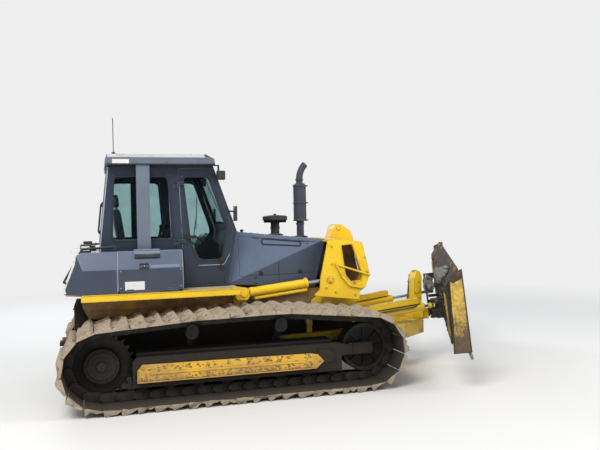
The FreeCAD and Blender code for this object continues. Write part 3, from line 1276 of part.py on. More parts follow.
def blade_carrier():
    """Ball with its neck, the block and stub that the blade turns on, and the tilt barrel's post."""
    ball = Part.makeSphere(BALL_R)
    neck = Part.makeCylinder(45.0, 90.0, V(0, 0, 0), V(1, 0, 0))
    block = box(70.0, CARRIER_FACE, -130, 130, -95, 110)
    stub = Part.makeCylinder(STUB_R, 88.0, V(CARRIER_FACE, 0, 0), V(1, 0, 0))
    post_front = POST_FORE + POST_PLATE
    side_in, side_out = TILT_PIN_SIDE + 40, TILT_PIN_SIDE - 50
    up_low, up_high = TILT_PIN_UP - 70, TILT_PIN_UP + 50
    post = prism_x(((-130.0, -60.0), (-130.0, 110.0), (side_in, up_low), (side_in, up_high),
                    (side_out, up_high), (side_out, up_low), (-210.0, -20.0)), POST_FORE, post_front)
    web_outline = ((-130.0, 0.0), (-60.0, 110.0), (-130.0, 190.0), (-200.0, 140.0))
    web = prism_x(web_outline, post_front, CARRIER_FACE)
    pin = Part.makeCylinder(TILT_PIN_R, 55.0, V(post_front, TILT_PIN_SIDE, TILT_PIN_UP), V(1, 0, 0))
    return turned(fuse(ball, neck, block, stub, post, web, pin))


def tilt_barrel():
    a = (TILT_FORE, TILT_PIN_SIDE, TILT_PIN_UP)
    b = (TILT_FORE, TILT_EYE_SIDE, TILT_EYE_UP)
    solid = cylinder_tube(a, b, 60.0, 560.0, TILT_CYL_R, 24.0, TILT_ROD_R)
    disc = rod_between(along(a, b, 60.0), along(a, b, 88.0), TILT_CYL_R + 16)
    disc = disc.cut(rod_between(along(a, b, 59.0), along(a, b, 89.0), TILT_CYL_R - 2))
    eye = Part.makeCylinder(44.0, 44.0, V(TILT_FORE - 22, TILT_PIN_SIDE, TILT_PIN_UP), V(1, 0, 0))
    neck = rod_between(along(a, b, 30.0), along(a, b, 70.0), 22.0)
    solid = solid.fuse([eye, neck, disc])
    hole_foot = V(TILT_FORE - 40, TILT_PIN_SIDE, TILT_PIN_UP)
    pin_hole = Part.makeCylinder(TILT_PIN_R + PIN_CLEAR, 80.0, hole_foot, V(1, 0, 0))
    return turned(solid.cut(pin_hole))


def tilt_rod():
    a = (TILT_FORE, TILT_PIN_SIDE, TILT_PIN_UP)
    b = (TILT_FORE, TILT_EYE_SIDE, TILT_EYE_UP)
    length = math.dist(a, b)
    rod = rod_between(along(a, b, 240.0), along(a, b, length - 25), TILT_ROD_R)
    eye = Part.makeCylinder(40.0, 40.0, V(TILT_FORE - 20, TILT_EYE_SIDE, TILT_EYE_UP), V(1, 0, 0))
    return turned(fuse(rod, eye))


BACK_FACE = 245.0
EYE_ROOM = 62.0
EYE_PLATE = 26.0
PLATE = 25.0
PLATE_LOW = BLADE_LOW + 150
PLATE_EDGE = 430.0
PLATE_HOLLOW = 300.0
HOLLOW_UP = 260.0
END_PLATE = 30.0
POCKET_FACE = 262.0
# pockets between the ribs of the blade's back, sideways from the ball
POCKETS = ((-1840.0, -1290.0), (-1250.0, -760.0), (760.0, 1250.0), (1290.0, 1840.0))
# the box section behind the plate, fore and up
BACKING = ((PLATE_EDGE - PLATE, PLATE_LOW), (BACK_FACE, BLADE_LOW + 230), (BACK_FACE, 640.0),
           (340.0, 760.0), (PLATE_EDGE - PLATE, BLADE_HIGH - 20))
END_OUTLINE = ((BACK_FACE, BLADE_LOW + 100), (470.0, BLADE_LOW + 100), (470.0, BLADE_HIGH),
               (BACK_FACE + 60, BLADE_HIGH - 60))


def across(profile, half):
    """A closed profile in the fore and up plane, extruded over the blade's width."""
    solid = Part.Face(Part.Wire(profile)).extrude(V(0, 2 * half, 0))
    solid.translate(V(0, -half, 0))
    return solid


def blade():
    """Curved plate with stiffening boxes, ribs, end plates and the brackets on its back."""
    low, mid, high = V(PLATE_EDGE, 0, PLATE_LOW), V(PLATE_HOLLOW, 0, HOLLOW_UP), V(PLATE_EDGE, 0, BLADE_HIGH)
    back_low, back_mid, back_high = (V(p.x - PLATE, 0, p.z) for p in (low, mid, high))
    plate = across([Part.Arc(low, mid, high).toShape(), Part.makeLine(high, back_high),
                    Part.Arc(back_high, back_mid, back_low).toShape(),
                    Part.makeLine(back_low, low)], BLADE_HALF)
    far_high, far_low = V(900, 0, BLADE_HIGH), V(900, 0, PLATE_LOW)
    room = across([Part.Arc(back_low, back_mid, back_high).toShape(), Part.makeLine(back_high, far_high),
                   Part.makeLine(far_high, far_low), Part.makeLine(far_low, back_low)], BLADE_HALF + 1)
    backing = prism_y(BACKING, -BLADE_HALF + END_PLATE, BLADE_HALF - END_PLATE).cut(room)
    for y0, y1 in POCKETS:
        backing = backing.cut(box(BACK_FACE - 5, POCKET_FACE, y0, y1, 0.0, 470.0))
    ends = [prism_y(END_OUTLINE, y0, y0 + END_PLATE) for y0 in (-BLADE_HALF - END_PLATE, BLADE_HALF)]
    hub_face = CARRIER_FACE + 5 + RUN_GAP
    hub = Part.makeCylinder(130.0, BACK_FACE - hub_face, V(hub_face, 0, 0), V(1, 0, 0))
    solids = [backing, hub] + ends
    # ears for the angle rods and the tilt rod
    for sign in (-1, 1):
        y = ANGLE_PIN_OUT * sign
        for z0 in (ANGLE_PIN_UP - EYE_ROOM - EYE_PLATE, ANGLE_PIN_UP + EYE_ROOM):
            solids.append(box(ANGLE_PIN_FORE - 45, BACK_FACE, y - 60, y + 60, z0, z0 + EYE_PLATE))
    ear_low, ear_high = TILT_EYE_UP - 45, TILT_EYE_UP + 45
    side_in, side_out = TILT_EYE_SIDE - 45, TILT_EYE_SIDE + 95
    for x0 in (TILT_FORE - 48, TILT_FORE + 26):
        solids.append(box(x0, x0 + 22, side_in, side_out, ear_low, ear_high))
    solids.append(box(TILT_FORE - 48, BACK_FACE, side_out - 35, side_out, ear_low, ear_high))
    socket = Part.makeCylinder(STUB_R + PIN_CLEAR, 96.0, V(CARRIER_FACE - 1, 0, 0), V(1, 0, 0))
    return turned(plate.fuse(solids).cut(socket))


EDGE_TOP = PLATE_LOW - RUN_GAP
EDGE_FORE = 15.0


def cutting_edge():
    back = PLATE_EDGE - PLATE
    outline = ((PLATE_EDGE, EDGE_TOP), (back, EDGE_TOP), (PLATE_EDGE + EDGE_FORE, BLADE_LOW),
               (PLATE_EDGE + EDGE_FORE + PLATE, BLADE_LOW))
    return turned(prism_y(outline, -BLADE_HALF, BLADE_HALF))


LAMP_TOP_Z = 2812.0


def lamps():
    """Two work lamps at the cab's front top corners, on brackets under the roof, and two on the tank."""
    under_roof = ROOF_LOW_Z - RUN_GAP
    bar_in, bar_out = ROPS_IN + 25, ROPS_IN + 55
    front = box(-175.0, -80.0, ROPS_IN, ROPS_OUT + 10, LAMP_TOP_Z - 112, LAMP_TOP_Z)
    bracket = fuse(box(-290.0, -145.0, bar_in, bar_out, under_roof - 14, under_roof),
                   box(-165.0, -145.0, bar_in, bar_out, LAMP_TOP_Z - 7, under_roof))
    rear = box(-1850.0, -1730.0, ROPS_IN, ROPS_OUT + 20, BODY_TOP_Z, BODY_TOP_Z + 95)
    return Part.makeCompound([both(fuse(front, bracket)), both(rear)])


RAIL_R = 13.0


def bent_tube(points, r):
    tube = rod_between(points[0], points[1], r)
    bends = [Part.makeSphere(r, V(*p)) for p in points[1:-1]]
    return tube.fuse([rod_between(a, b, r) for a, b in zip(points[1:], points[2:])] + bends)


def grab_rails():
    """Bent handrails over the tank's rear corners."""
    y = ROPS_OUT + 55
    rail = bent_tube(((-1930.0, y, 1440.0), (-2045.0, y, 1485.0), (-1825.0, y, 1872.0),
                      (-1450.0, y, 1888.0), (-1450.0, y, BODY_TOP_Z - 20)), RAIL_R)
    return both(rail.cut(fuel_tank()))


def mirrors():
    """Rear-view mirrors on their arms at the cab's front corners."""
    arm = rod_between((-60.0, CAB_HALF - 40, 2310.0), (44.0, CAB_HALF + 80, 2290.0), 10.0)
    arm = arm.cut(prism_y(CAB_SIDE, -CAB_HALF, CAB_HALF))
    head = box(30.0, 58.0, CAB_HALF + 40, CAB_HALF + 170, 2170.0, 2360.0)
    return both(fuse(arm, head))


ANTENNA_X = -1440.0
ANTENNA_Y = 20 - CAB_HALF
ANTENNA_FOOT = 30.0


def antenna():
    foot = Part.makeCylinder(22.0, ANTENNA_FOOT, V(ANTENNA_X, ANTENNA_Y, ROOF_TOP_Z))
    whip = Part.makeCylinder(5.0, 420.0, V(ANTENNA_X, ANTENNA_Y, ROOF_TOP_Z + ANTENNA_FOOT))
    return fuse(foot, whip)


GUARD_BAR = ((1425.0, 1558.0), (1905.0, 1398.0))
GUARD_PIPE = ((1440.0, 1533.0), (1513.0, 1381.0), (1617.0, 1262.0), (1808.0, 1222.0))
PIPE_R = 12.0


def guard_pipes():
    """A straight bar and a bent oil pipe on the outside of the guard."""
    y = GUARD_OUT + PIPE_R + RUN_GAP
    bar, pipe = ([(x, y, z) for x, z in places] for places in (GUARD_BAR, GUARD_PIPE))
    return [rod_between(*bar, PIPE_R), bent_tube(pipe, PIPE_R)]


# Running gear pieces that sit on the chassis, both sides in one node each
save("track_right", mirror(track()))
save("track_left", track())
save("sprockets", both(sprocket_disc()))
save("final_drives", both(final_drive()))
save("idlers", both(idler()))
rollers = [bottom_roller(x) for x in ROLLER_XS] + [carrier_roller(x) for x, z in CARRIERS]
save("track_rollers", Part.makeCompound(rollers + [mirror(r) for r in rollers]))
save("track_frames", both(track_frame()))
save("roller_guards", both(roller_guard()))
save("equalizer_bar", equalizer_bar())
save("main_frame", main_frame())
save("frame_pivots", both(frame_pivot()))
save("frame_skirts", both(skirt()))
save("fenders", both(fuse(fender(), lift_bracket())))
save("side_boxes", both(fuse(side_box(), hinge_strip())))
save("fuel_tank", fuel_tank())
save("rops_posts", both(rops_post()))
save("cab_shell", cab_shell())
save("cab_glass", cab_glass())
save("cab_roof", cab_roof())
save("seat_base", seat_base())
save("seat_cushion", seat_cushion())
save("operator_controls", controls())
save("hood", hood())
save("engine", Part.makeCompound([engine(), radiator_core()]))
save("exhaust_stack", exhaust())
save("precleaner", precleaner())
save("radiator_guard", radiator_guard())
guard_plates = [guard_side()] + guard_lower_plates()
save("guard_sides", Part.makeCompound(guard_plates + [mirror(g) for g in guard_plates + guard_pipes()]))
save("front_grille", grille())
save("work_lamps", lamps())
save("grab_rails", grab_rails())
save("mirrors", mirrors())
save("antenna", antenna())

for side, sign in SIDES:
    save("side_cover_" + side, on_side(side_cover(), sign))
    save("cab_door_" + side, on_side(cab_door(), sign))
    save("door_glass_" + side, on_side(door_glass(), sign))
    save("engine_door_" + side, on_side(engine_door(), sign))
    save("lift_link_" + side, on_side(lift_link(), sign))
    save("lift_barrel_" + side, on_side(lift_barrel(), sign))
    save("lift_rod_" + side, on_side(lift_rod(), sign))
    save("angle_trunnion_" + side, angle_trunnion(sign))
    save("angle_barrel_" + side, angle_barrel(sign))
    save("angle_rod_" + side, angle_rod(sign))

save("lift_levers", lift_levers())
save("c_frame", c_frame())
save("blade_carrier", blade_carrier())
save("tilt_barrel", tilt_barrel())
save("tilt_rod", tilt_rod())
save("blade", blade())
save("cutting_edge", cutting_edge())
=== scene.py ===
import bpy
import math
import numpy as np
from mathutils import Matrix, Vector


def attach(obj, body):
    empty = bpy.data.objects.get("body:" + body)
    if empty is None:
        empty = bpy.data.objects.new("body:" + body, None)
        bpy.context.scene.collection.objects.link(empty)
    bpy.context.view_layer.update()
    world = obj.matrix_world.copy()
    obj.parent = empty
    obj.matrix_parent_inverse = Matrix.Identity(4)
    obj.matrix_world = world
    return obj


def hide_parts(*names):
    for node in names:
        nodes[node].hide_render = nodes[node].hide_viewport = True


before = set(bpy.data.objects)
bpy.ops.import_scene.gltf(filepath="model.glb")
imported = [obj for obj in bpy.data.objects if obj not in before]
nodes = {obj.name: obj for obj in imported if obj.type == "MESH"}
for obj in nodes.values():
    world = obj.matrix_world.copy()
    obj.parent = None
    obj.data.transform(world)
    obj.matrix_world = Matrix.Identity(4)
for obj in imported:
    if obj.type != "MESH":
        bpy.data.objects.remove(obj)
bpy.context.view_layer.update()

# Ground and studio.
# A pale matt floor, two broad soft lamps and one narrower one for the highlights, and a camera
# that stands to the right of the machine, a little behind its middle.


def node(tree, kind, inputs=None, **settings):
    """Adds one shader node and sets its sockets by name or number."""
    made = tree.nodes.new(kind)
    for key, value in settings.items():
        setattr(made, key, value)
    for key, value in (inputs or {}).items():
        if isinstance(value, bpy.types.NodeSocket):
            tree.links.new(value, made.inputs[key])
        else:
            made.inputs[key].default_value = value
    return made


def new_material(name):
    made = bpy.data.materials.new(name)
    made.use_nodes = True
    tree = made.node_tree
    return made, tree, tree.nodes["Principled BSDF"]


floor_mesh = bpy.data.meshes.new("floor")
floor_mesh.from_pydata([(-90, -90, 0), (90, -90, 0), (90, 90, 0), (-90, 90, 0)], [], [(0, 1, 2, 3)])
floor = bpy.data.objects.new("floor", floor_mesh)
bpy.context.scene.collection.objects.link(floor)
floor_look, tree, surface = new_material("pale_floor")
surface.inputs["Base Color"].default_value = (0.80, 0.79, 0.77, 1)
surface.inputs["Roughness"].default_value = 0.9
surface.inputs["Specular IOR Level"].default_value = 0.1
# far from the machine the floor turns into the backdrop's own pale tone
place = node(tree, "ShaderNodeTexCoord").outputs["Object"]
far = node(tree, "ShaderNodeVectorMath", {0: place}, operation="LENGTH")
share = node(tree, "ShaderNodeMapRange", {"Value": far.outputs["Value"], 1: 5.5, 2: 15.0}, interpolation_type="SMOOTHSTEP")
horizon = node(tree, "ShaderNodeEmission", {"Color": (0.86, 0.86, 0.86, 1), "Strength": 1.0})
blended = node(tree, "ShaderNodeMixShader", {0: share.outputs[0], 1: surface.outputs[0], 2: horizon.outputs[0]})
unlit = node(tree, "ShaderNodeMixShader", {1: surface.outputs[0], 2: blended.outputs[0]})
eye = node(tree, "ShaderNodeLightPath")
tree.links.new(eye.outputs["Is Camera Ray"], unlit.inputs[0])
tree.links.new(unlit.outputs[0], tree.nodes["Material Output"].inputs["Surface"])
floor_mesh.materials.append(floor_look)

world = bpy.data.worlds.new("studio")
bpy.context.scene.world = world
world.use_nodes = True
tree = world.node_tree
rays = node(tree, "ShaderNodeLightPath")
seen = node(tree, "ShaderNodeMath", {0: rays.outputs["Is Camera Ray"], 1: rays.outputs["Is Transmission Ray"]},
            operation="MAXIMUM")
shown = node(tree, "ShaderNodeBackground", {"Color": (0.86, 0.86, 0.86, 1), "Strength": 1.0})
sky = tree.nodes["Background"]
sky.inputs["Color"].default_value = (0.86, 0.92, 1.0, 1)
sky.inputs["Strength"].default_value = 0.55
mixed = node(tree, "ShaderNodeMixShader", {0: seen.outputs[0], 1: sky.outputs[0], 2: shown.outputs[0]})
tree.links.new(mixed.outputs[0], tree.nodes["World Output"].inputs["Surface"])

for name, place, target, size, power, tint in (
        ("key_lamp", (-5.5, -8.5, 12.0), (0.5, 0, 1.2), 6.0, 1480, (1.0, 0.97, 0.92)),
        ("front_lamp", (11.0, -6.0, 7.5), (1.0, 0, 1.2), 5.0, 620, (1.0, 0.98, 0.95)),
        ("far_lamp", (-3.0, 11.0, 8.0), (0, 0, 1.5), 6.0, 560, (0.92, 0.96, 1.0))):
    lamp = bpy.data.lights.new(name, "AREA")
    lamp.size = size
    lamp.energy = power
    lamp.color = tint
    holder = bpy.data.objects.new(name, lamp)
    holder.location = place
    holder.rotation_euler = (Vector(target) - Vector(place)).to_track_quat("-Z", "Y").to_euler()
    bpy.context.scene.collection.objects.link(holder)

pan, tip, roll = (math.radians(a) for a in (16.4, 0.45, -1.2))
ahead = Vector((math.sin(pan) * math.cos(tip), math.cos(pan) * math.cos(tip), -math.sin(tip)))
level = Vector((math.cos(pan), -math.sin(pan), 0))
upright = level.cross(ahead)
right = math.cos(roll) * level + math.sin(roll) * upright
upper = -math.sin(roll) * level + math.cos(roll) * upright
lens = bpy.data.cameras.new("camera")
lens.lens = 40.8
lens.sensor_width = 36.0
camera = bpy.data.objects.new("camera", lens)
camera.matrix_world = Matrix.Translation((-1.62, -9.40, 2.17)) @ Matrix((right, upper, -ahead)).transposed().to_4x4()
bpy.context.scene.collection.objects.link(camera)
bpy.context.scene.camera = camera
bpy.context.scene.view_settings.view_transform = "Standard"


# Tracks.
# Each is a chain of forged links with hardened pins, and a triangular swamp shoe is bolted to every
# link pair. Dry soil fills the valleys between the ridges and hangs on the shoes' ends.

TRACK_MIDDLE = 1.070
SHOE_HALF = 0.430
PITCHES = 0.190
SPROCKET = (-1.6375, 0.512)
IDLER = (1.6375, 0.504)
SPROCKET_R = 0.378
IDLER_R = 0.370
CARRIER_TOPS = ((-0.580, 0.965), (0.530, 0.985))


def chain_pins():
    """Pin places round the loop: a belt line over two circles and two carriers, cut in equal lengths."""
    def touch(centre, radius, place, forward):
        away = np.subtract(place, centre)
        spread = math.acos(radius / np.hypot(*away))
        return math.atan2(away[1], away[0]) + (spread if forward else -spread)

    leave = touch(SPROCKET, SPROCKET_R, CARRIER_TOPS[0], True)
    reach = touch(IDLER, IDLER_R, CARRIER_TOPS[1], False)
    rear = -math.pi / 2 - (1.5 * math.pi - leave) * np.linspace(0, 1, 91)
    front = reach - (reach + math.pi / 2) * np.linspace(0, 1, 91)
    line = np.vstack([np.c_[SPROCKET[0] + SPROCKET_R * np.cos(rear), SPROCKET[1] + SPROCKET_R * np.sin(rear)],
                      CARRIER_TOPS,
                      np.c_[IDLER[0] + IDLER_R * np.cos(front), IDLER[1] + IDLER_R * np.sin(front)]])
    line = np.vstack([line, line[:1]])
    run = np.r_[0, np.cumsum(np.hypot(*np.diff(line, axis=0).T))]
    count = round(run[-1] / PITCHES)
    places = np.arange(count) * run[-1] / count
    return np.c_[np.interp(places, run, line[:, 0]), np.interp(places, run, line[:, 1])]


def on_links(start, end, along, rise, across):
    """Carries points given as along a link, above it and across the track to each link of the chain.
    start and end are the links' pins; the three arrays share one shape, and links come first."""
    run = end - start
    run = run / np.hypot(*run.T)[:, None]
    out = np.c_[-run[:, 1], run[:, 0]]
    shape = (-1,) + (1,) * (along.ndim - 1)
    x = start[:, 0].reshape(shape) + run[:, 0].reshape(shape) * along + out[:, 0].reshape(shape) * rise
    z = start[:, 1].reshape(shape) + run[:, 1].reshape(shape) * along + out[:, 1].reshape(shape) * rise
    return np.stack(np.broadcast_arrays(x, across, z), -1)


def loft_faces(copies, ring, rows):
    """Faces of closed rings joined row by row, with both ends closed, repeated for each copy."""
    a = np.arange(ring)
    b = (a + 1) % ring
    quads = np.concatenate([np.c_[r * ring + a, r * ring + b, (r + 1) * ring + b, (r + 1) * ring + a]
                            for r in range(rows - 1)])
    faces = []
    for k in range(copies):
        base = k * ring * rows
        faces += (quads + base).tolist()
        faces.append((a[::-1] + base).tolist())
        faces.append((a + base + ring * (rows - 1)).tolist())
    return faces


def outward(points, faces):
    """Turns a closed part's faces outwards: the sum of corner triple products is six times its volume."""
    p = np.asarray(points, float).reshape(-1, 3)
    volume = sum(np.dot(p[f[0]], np.cross(p[f[k]], p[f[k + 1]])) for f in faces for k in range(1, len(f) - 1))
    return p, (faces if volume > 0 else [f[::-1] for f in faces])


def other_side(part):
    """The same part across the machine's middle plane."""
    points, faces = part
    return points * (1, -1, 1), [f[::-1] for f in faces]


def add_piece(name, parts, look, body):
    """Makes one mesh object of several closed parts, at the origin, with its look, body and slot."""
    starts = np.cumsum([0] + [len(points) for points, _ in parts])
    faces = [[i + start for i in f] for (_, some), start in zip(parts, starts.tolist()) for f in some]
    mesh = bpy.data.meshes.new(name)
    mesh.from_pydata(np.vstack([points for points, _ in parts]).tolist(), [], faces)
    mesh.materials.append(look)
    piece = bpy.data.objects.new(name, mesh)
    bpy.context.scene.collection.objects.link(piece)
    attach(piece, body)
    return piece


def paint(look_name, colour, soil, soil_top, soil_share, gloss, worn=None, wear=0.5, corner_shade_share=0.7, reach=0.10,
          fold=1.0):
    """Enamel with soil on it. Soil grows towards the ground, below soil_top metres, on faces that look
    up, and in cloudy patches; worn is the colour that shows through along the edges. Painted shade darkens
    corners that are shut in within the reach, down to the corner_shade_share of the colour. Painted shade
    also darkens faces that don't lean back, so an upright sheet below a crease keeps the fold share of the tone above
    it."""
    made, tree, surface = new_material(look_name)
    place = node(tree, "ShaderNodeTexCoord").outputs["Object"]
    shape = node(tree, "ShaderNodeNewGeometry")
    height = node(tree, "ShaderNodeSeparateXYZ", {0: place}).outputs["Z"]
    facing = node(tree, "ShaderNodeSeparateXYZ", {0: shape.outputs["Normal"]}).outputs["Z"]
    clouds = node(tree, "ShaderNodeTexNoise", {"Vector": place, "Scale": 2.6, "Detail": 9.0, "Roughness": 0.66})
    grains = node(tree, "ShaderNodeTexNoise", {"Vector": place, "Scale": 38.0, "Detail": 6.0, "Roughness": 0.7})
    fine = node(tree, "ShaderNodeTexNoise", {"Vector": place, "Scale": 420.0, "Detail": 2.0})
    low = node(tree, "ShaderNodeMapRange", {"Value": height, 1: soil_top, 2: soil_top * 0.35 - 0.3, 3: 0.0, 4: 0.55})
    top = node(tree, "ShaderNodeMapRange", {"Value": facing, 1: 0.2, 2: 1.0, 3: 0.0, 4: 0.22})
    patch = node(tree, "ShaderNodeMath", {0: clouds.outputs[0], 1: low.outputs[0]}, operation="ADD")
    patch = node(tree, "ShaderNodeMath", {0: patch.outputs[0], 1: top.outputs[0]}, operation="ADD")
    speck = node(tree, "ShaderNodeMath", {0: grains.outputs[0], 1: 0.45, 2: patch.outputs[0]}, operation="MULTIPLY_ADD")
    cover = node(tree, "ShaderNodeMapRange", {"Value": speck.outputs[0], 1: 1.10 - soil_share, 2: 1.32 - soil_share})
    fade = node(tree, "ShaderNodeMapRange", {"Value": clouds.outputs[0], 1: 0.25, 2: 0.75, 3: 0.86, 4: 1.10})
    bright = node(tree, "ShaderNodeHueSaturation", {"Color": (*colour, 1), "Value": fade.outputs[0]})
    base = bright.outputs[0]
    if worn is not None:
        rounded = node(tree, "ShaderNodeBevel", {"Radius": 0.012}, samples=4)
        edge = node(tree, "ShaderNodeVectorMath", {0: rounded.outputs[0], 1: shape.outputs["Normal"]},
                    operation="DOT_PRODUCT")
        bare = node(tree, "ShaderNodeMapRange", {"Value": edge.outputs["Value"], 1: 0.985, 2: 0.80, 3: -0.2, 4: wear})
        rubbed = node(tree, "ShaderNodeMath", {0: grains.outputs[0], 1: bare.outputs[0]}, operation="ADD")
        rub = node(tree, "ShaderNodeMapRange", {"Value": rubbed.outputs[0], 1: 0.66, 2: 0.78})
        base = node(tree, "ShaderNodeMix", {0: rub.outputs[0], 6: base, 7: (*worn, 1)}, data_type="RGBA").outputs[2]
        tree.links.new(rounded.outputs[0], surface.inputs["Normal"])
    tone = node(tree, "ShaderNodeMapRange", {"Value": grains.outputs[0], 1: 0.3, 2: 0.75, 3: 0.62, 4: 1.12})
    dirt = node(tree, "ShaderNodeHueSaturation", {"Color": (*soil, 1), "Value": tone.outputs[0]})
    skin = node(tree, "ShaderNodeMix", {0: cover.outputs[0], 6: base, 7: dirt.outputs[0]}, data_type="RGBA")
    # painted shade: ambient occlusion darkens corners shut in within the reach
    shut = node(tree, "ShaderNodeAmbientOcclusion", {"Distance": reach}, samples=6)
    painted_corner_shade = node(tree, "ShaderNodeMapRange", {"Value": shut.outputs["AO"], 1: 0.35, 2: 0.92, 3: corner_shade_share, 4: 1.0})
    # painted shade: faces that don't lean back are darkened against faces that do
    painted_facet_shade = node(tree, "ShaderNodeMapRange", {"Value": facing, 1: 0.10, 2: 0.20, 3: fold, 4: 1.0})
    tone = node(tree, "ShaderNodeMath", {0: painted_corner_shade.outputs[0], 1: painted_facet_shade.outputs[0]}, operation="MULTIPLY")
    painted_shade_skin = node(tree, "ShaderNodeHueSaturation", {"Color": skin.outputs[2], "Value": tone.outputs[0]})
    tree.links.new(painted_shade_skin.outputs[0], surface.inputs["Base Color"])
    sheen = node(tree, "ShaderNodeMath", {0: clouds.outputs[0], 1: 0.16, 2: gloss - 0.06}, operation="MULTIPLY_ADD")
    rough = node(tree, "ShaderNodeMix", {0: cover.outputs[0], 2: sheen.outputs[0], 3: 0.93})
    tree.links.new(rough.outputs[0], surface.inputs["Roughness"])
    crust = node(tree, "ShaderNodeMath", {0: cover.outputs[0], 1: grains.outputs[0]}, operation="MULTIPLY")
    relief = node(tree, "ShaderNodeMath", {0: fine.outputs[0], 1: 0.02, 2: crust.outputs[0]}, operation="MULTIPLY_ADD")
    bump = node(tree, "ShaderNodeBump", {"Height": relief.outputs[0], "Strength": 0.55, "Distance": 0.006})
    if worn is not None:
        tree.links.new(rounded.outputs[0], bump.inputs["Normal"])
    tree.links.new(bump.outputs[0], surface.inputs["Normal"])
    return made


def dress(look, *names):
    """Gives CAD nodes their look."""
    for name in names:
        slots = nodes[name].material_slots
        for k in range(len(slots)):
            slots[k].link = "OBJECT"
            slots[k].material = look


track_look = paint("soiled_track_steel", (0.13, 0.11, 0.09), (0.46, 0.37, 0.27), 3.0, 0.66, 0.50,
                   corner_shade_share=0.30, reach=0.14)
# painted shade: the link steel is darkened to near-black, with dark soil, for the deep shade inside the tracks
link_look = paint("greasy_link_steel_in_painted_shade", (0.024, 0.022, 0.020), (0.075, 0.058, 0.043), 1.2, 0.38, 0.55,
                  corner_shade_share=0.25, reach=0.5)

pins = chain_pins()
next_pins = np.roll(pins, -1, axis=0)
chance = np.random.default_rng(11)
count = len(pins)
rows = np.linspace(-SHOE_HALF, SHOE_HALF, 33)
# shoe section: a long back that rises to the ridge, then a steep front, with the plate under it; the
# plate's rear lip lies under the shoe before it
along = np.array([-0.020, -0.014, 0.040, 0.080, 0.115, 0.148, 0.163, 0.181, 0.188, 0.188, 0.150, 0.095, 0.040, -0.020])
rise = np.array([0.0575, 0.071, 0.082, 0.096, 0.112, 0.131, 0.131, 0.082, 0.070, 0.0555, 0.0555, 0.0555, 0.0555, 0.0560])
UNDERSIDE = (9, 10, 11, 12)
for side, sign in (("right", -1), ("left", 1)):
    lump = chance.normal(0, 1, (count, len(rows), len(along)))
    lump = (lump + np.roll(lump, 1, 1) + np.roll(lump, 1, 2)) / 1.7 + chance.normal(0, 0.6, (count, 1, 1))
    loose = np.where((rise > 0.060) & (rise < 0.130), 1.0, 0.3)
    rises = rise + np.where(rise > 0.060, np.clip(lump * 0.014 * loose + 0.004, -0.012, 0.030), 0)
    rises = np.minimum(rises, 0.1335)
    alongs = along + np.where(rise > 0.060, chance.normal(0, 0.003, rises.shape), 0)
    ragged = chance.normal(0, 0.010, rises.shape) * (np.abs(rows)[:, None] > SHOE_HALF - 0.05)
    across = sign * TRACK_MIDDLE + np.clip(rows[:, None] + ragged, -SHOE_HALF, SHOE_HALF)
    shoes = outward(on_links(pins, next_pins, alongs, rises, across), loft_faces(count, len(along), len(rows)))
    chain = add_piece("track_shoes_" + side, [shoes], track_look, "chassis")
    # painted shade: the shoes' undersides take the near-black link look
    chain.data.materials.append(link_look)
    under = np.isin(np.arange(len(along)), UNDERSIDE).astype(np.int32)
    one_shoe = np.r_[np.tile(under, len(rows) - 1), 0, 0]
    chain.data.polygons.foreach_set("material_index", np.tile(one_shoe, count).astype(np.int32))
    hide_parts("track_" + side)

    # link: a bar whose rear end lies inside its neighbour's front end, one pair each side of the middle
    steps = np.linspace(-0.030, 0.220, 14)
    offset = 0.012 * np.tanh((steps - 0.095) / 0.03)
    reach = np.where((steps < 0.0) | (steps > 0.19), 0.030, 0.050)
    parts = []
    for away in (-0.062, 0.062):
        lean = offset if away > 0 else -offset
        corners = ((-1, -1), (-1, 1), (1, 1), (1, -1))
        a = np.stack([steps for _ in corners], -1)
        h = np.stack([reach * up for _, up in corners], -1)
        y = np.stack([sign * TRACK_MIDDLE + away + lean + part * 0.019 for part, _ in corners], -1)
        a, h, y = (np.broadcast_to(v, (count,) + v.shape) for v in (a, h, y))
        parts.append(outward(on_links(pins, next_pins, a, h, y), loft_faces(count, 4, len(steps))))
    # bushings between the links
    turn = np.linspace(0, 2 * np.pi, 13)[:-1]
    y = sign * TRACK_MIDDLE + np.array([-0.094, 0.094])[:, None] * np.ones(12)
    bushing = (np.broadcast_to(v, (count, 2, 12)) for v in (0.031 * np.cos(turn), 0.031 * np.sin(turn), y))
    parts.append(outward(on_links(pins, next_pins, *bushing), loft_faces(count, 12, 2)))
    add_piece("track_links_" + side, parts, link_look, "chassis")

    # clods in the valleys: balls whose radius is changed by a random share at each corner
    clods = 520
    which = chance.integers(0, count, clods)
    size = chance.uniform(0.006, 0.020, (clods, 1, 1)) * chance.uniform(0.65, 1.25, (clods, 5, 7))
    lean = np.pi * (np.arange(5) + 0.5)[:, None] / 5
    turn = 2 * np.pi * np.arange(7) / 7
    a = chance.uniform(0.012, 0.135, (clods, 1, 1)) + size * np.sin(lean) * np.cos(turn)
    base = 0.076 + 0.30 * (a.mean((1, 2), keepdims=True) - 0.02)
    h = np.minimum(base + size * np.cos(lean), 0.1335)
    y = sign * TRACK_MIDDLE + chance.uniform(-0.41, 0.41, (clods, 1, 1)) + size * np.sin(lean) * np.sin(turn)
    clod = outward(on_links(pins[which], next_pins[which], a, h, y), loft_faces(clods, 7, 5))
    add_piece("track_clods_" + side, [clod], track_look, "chassis")
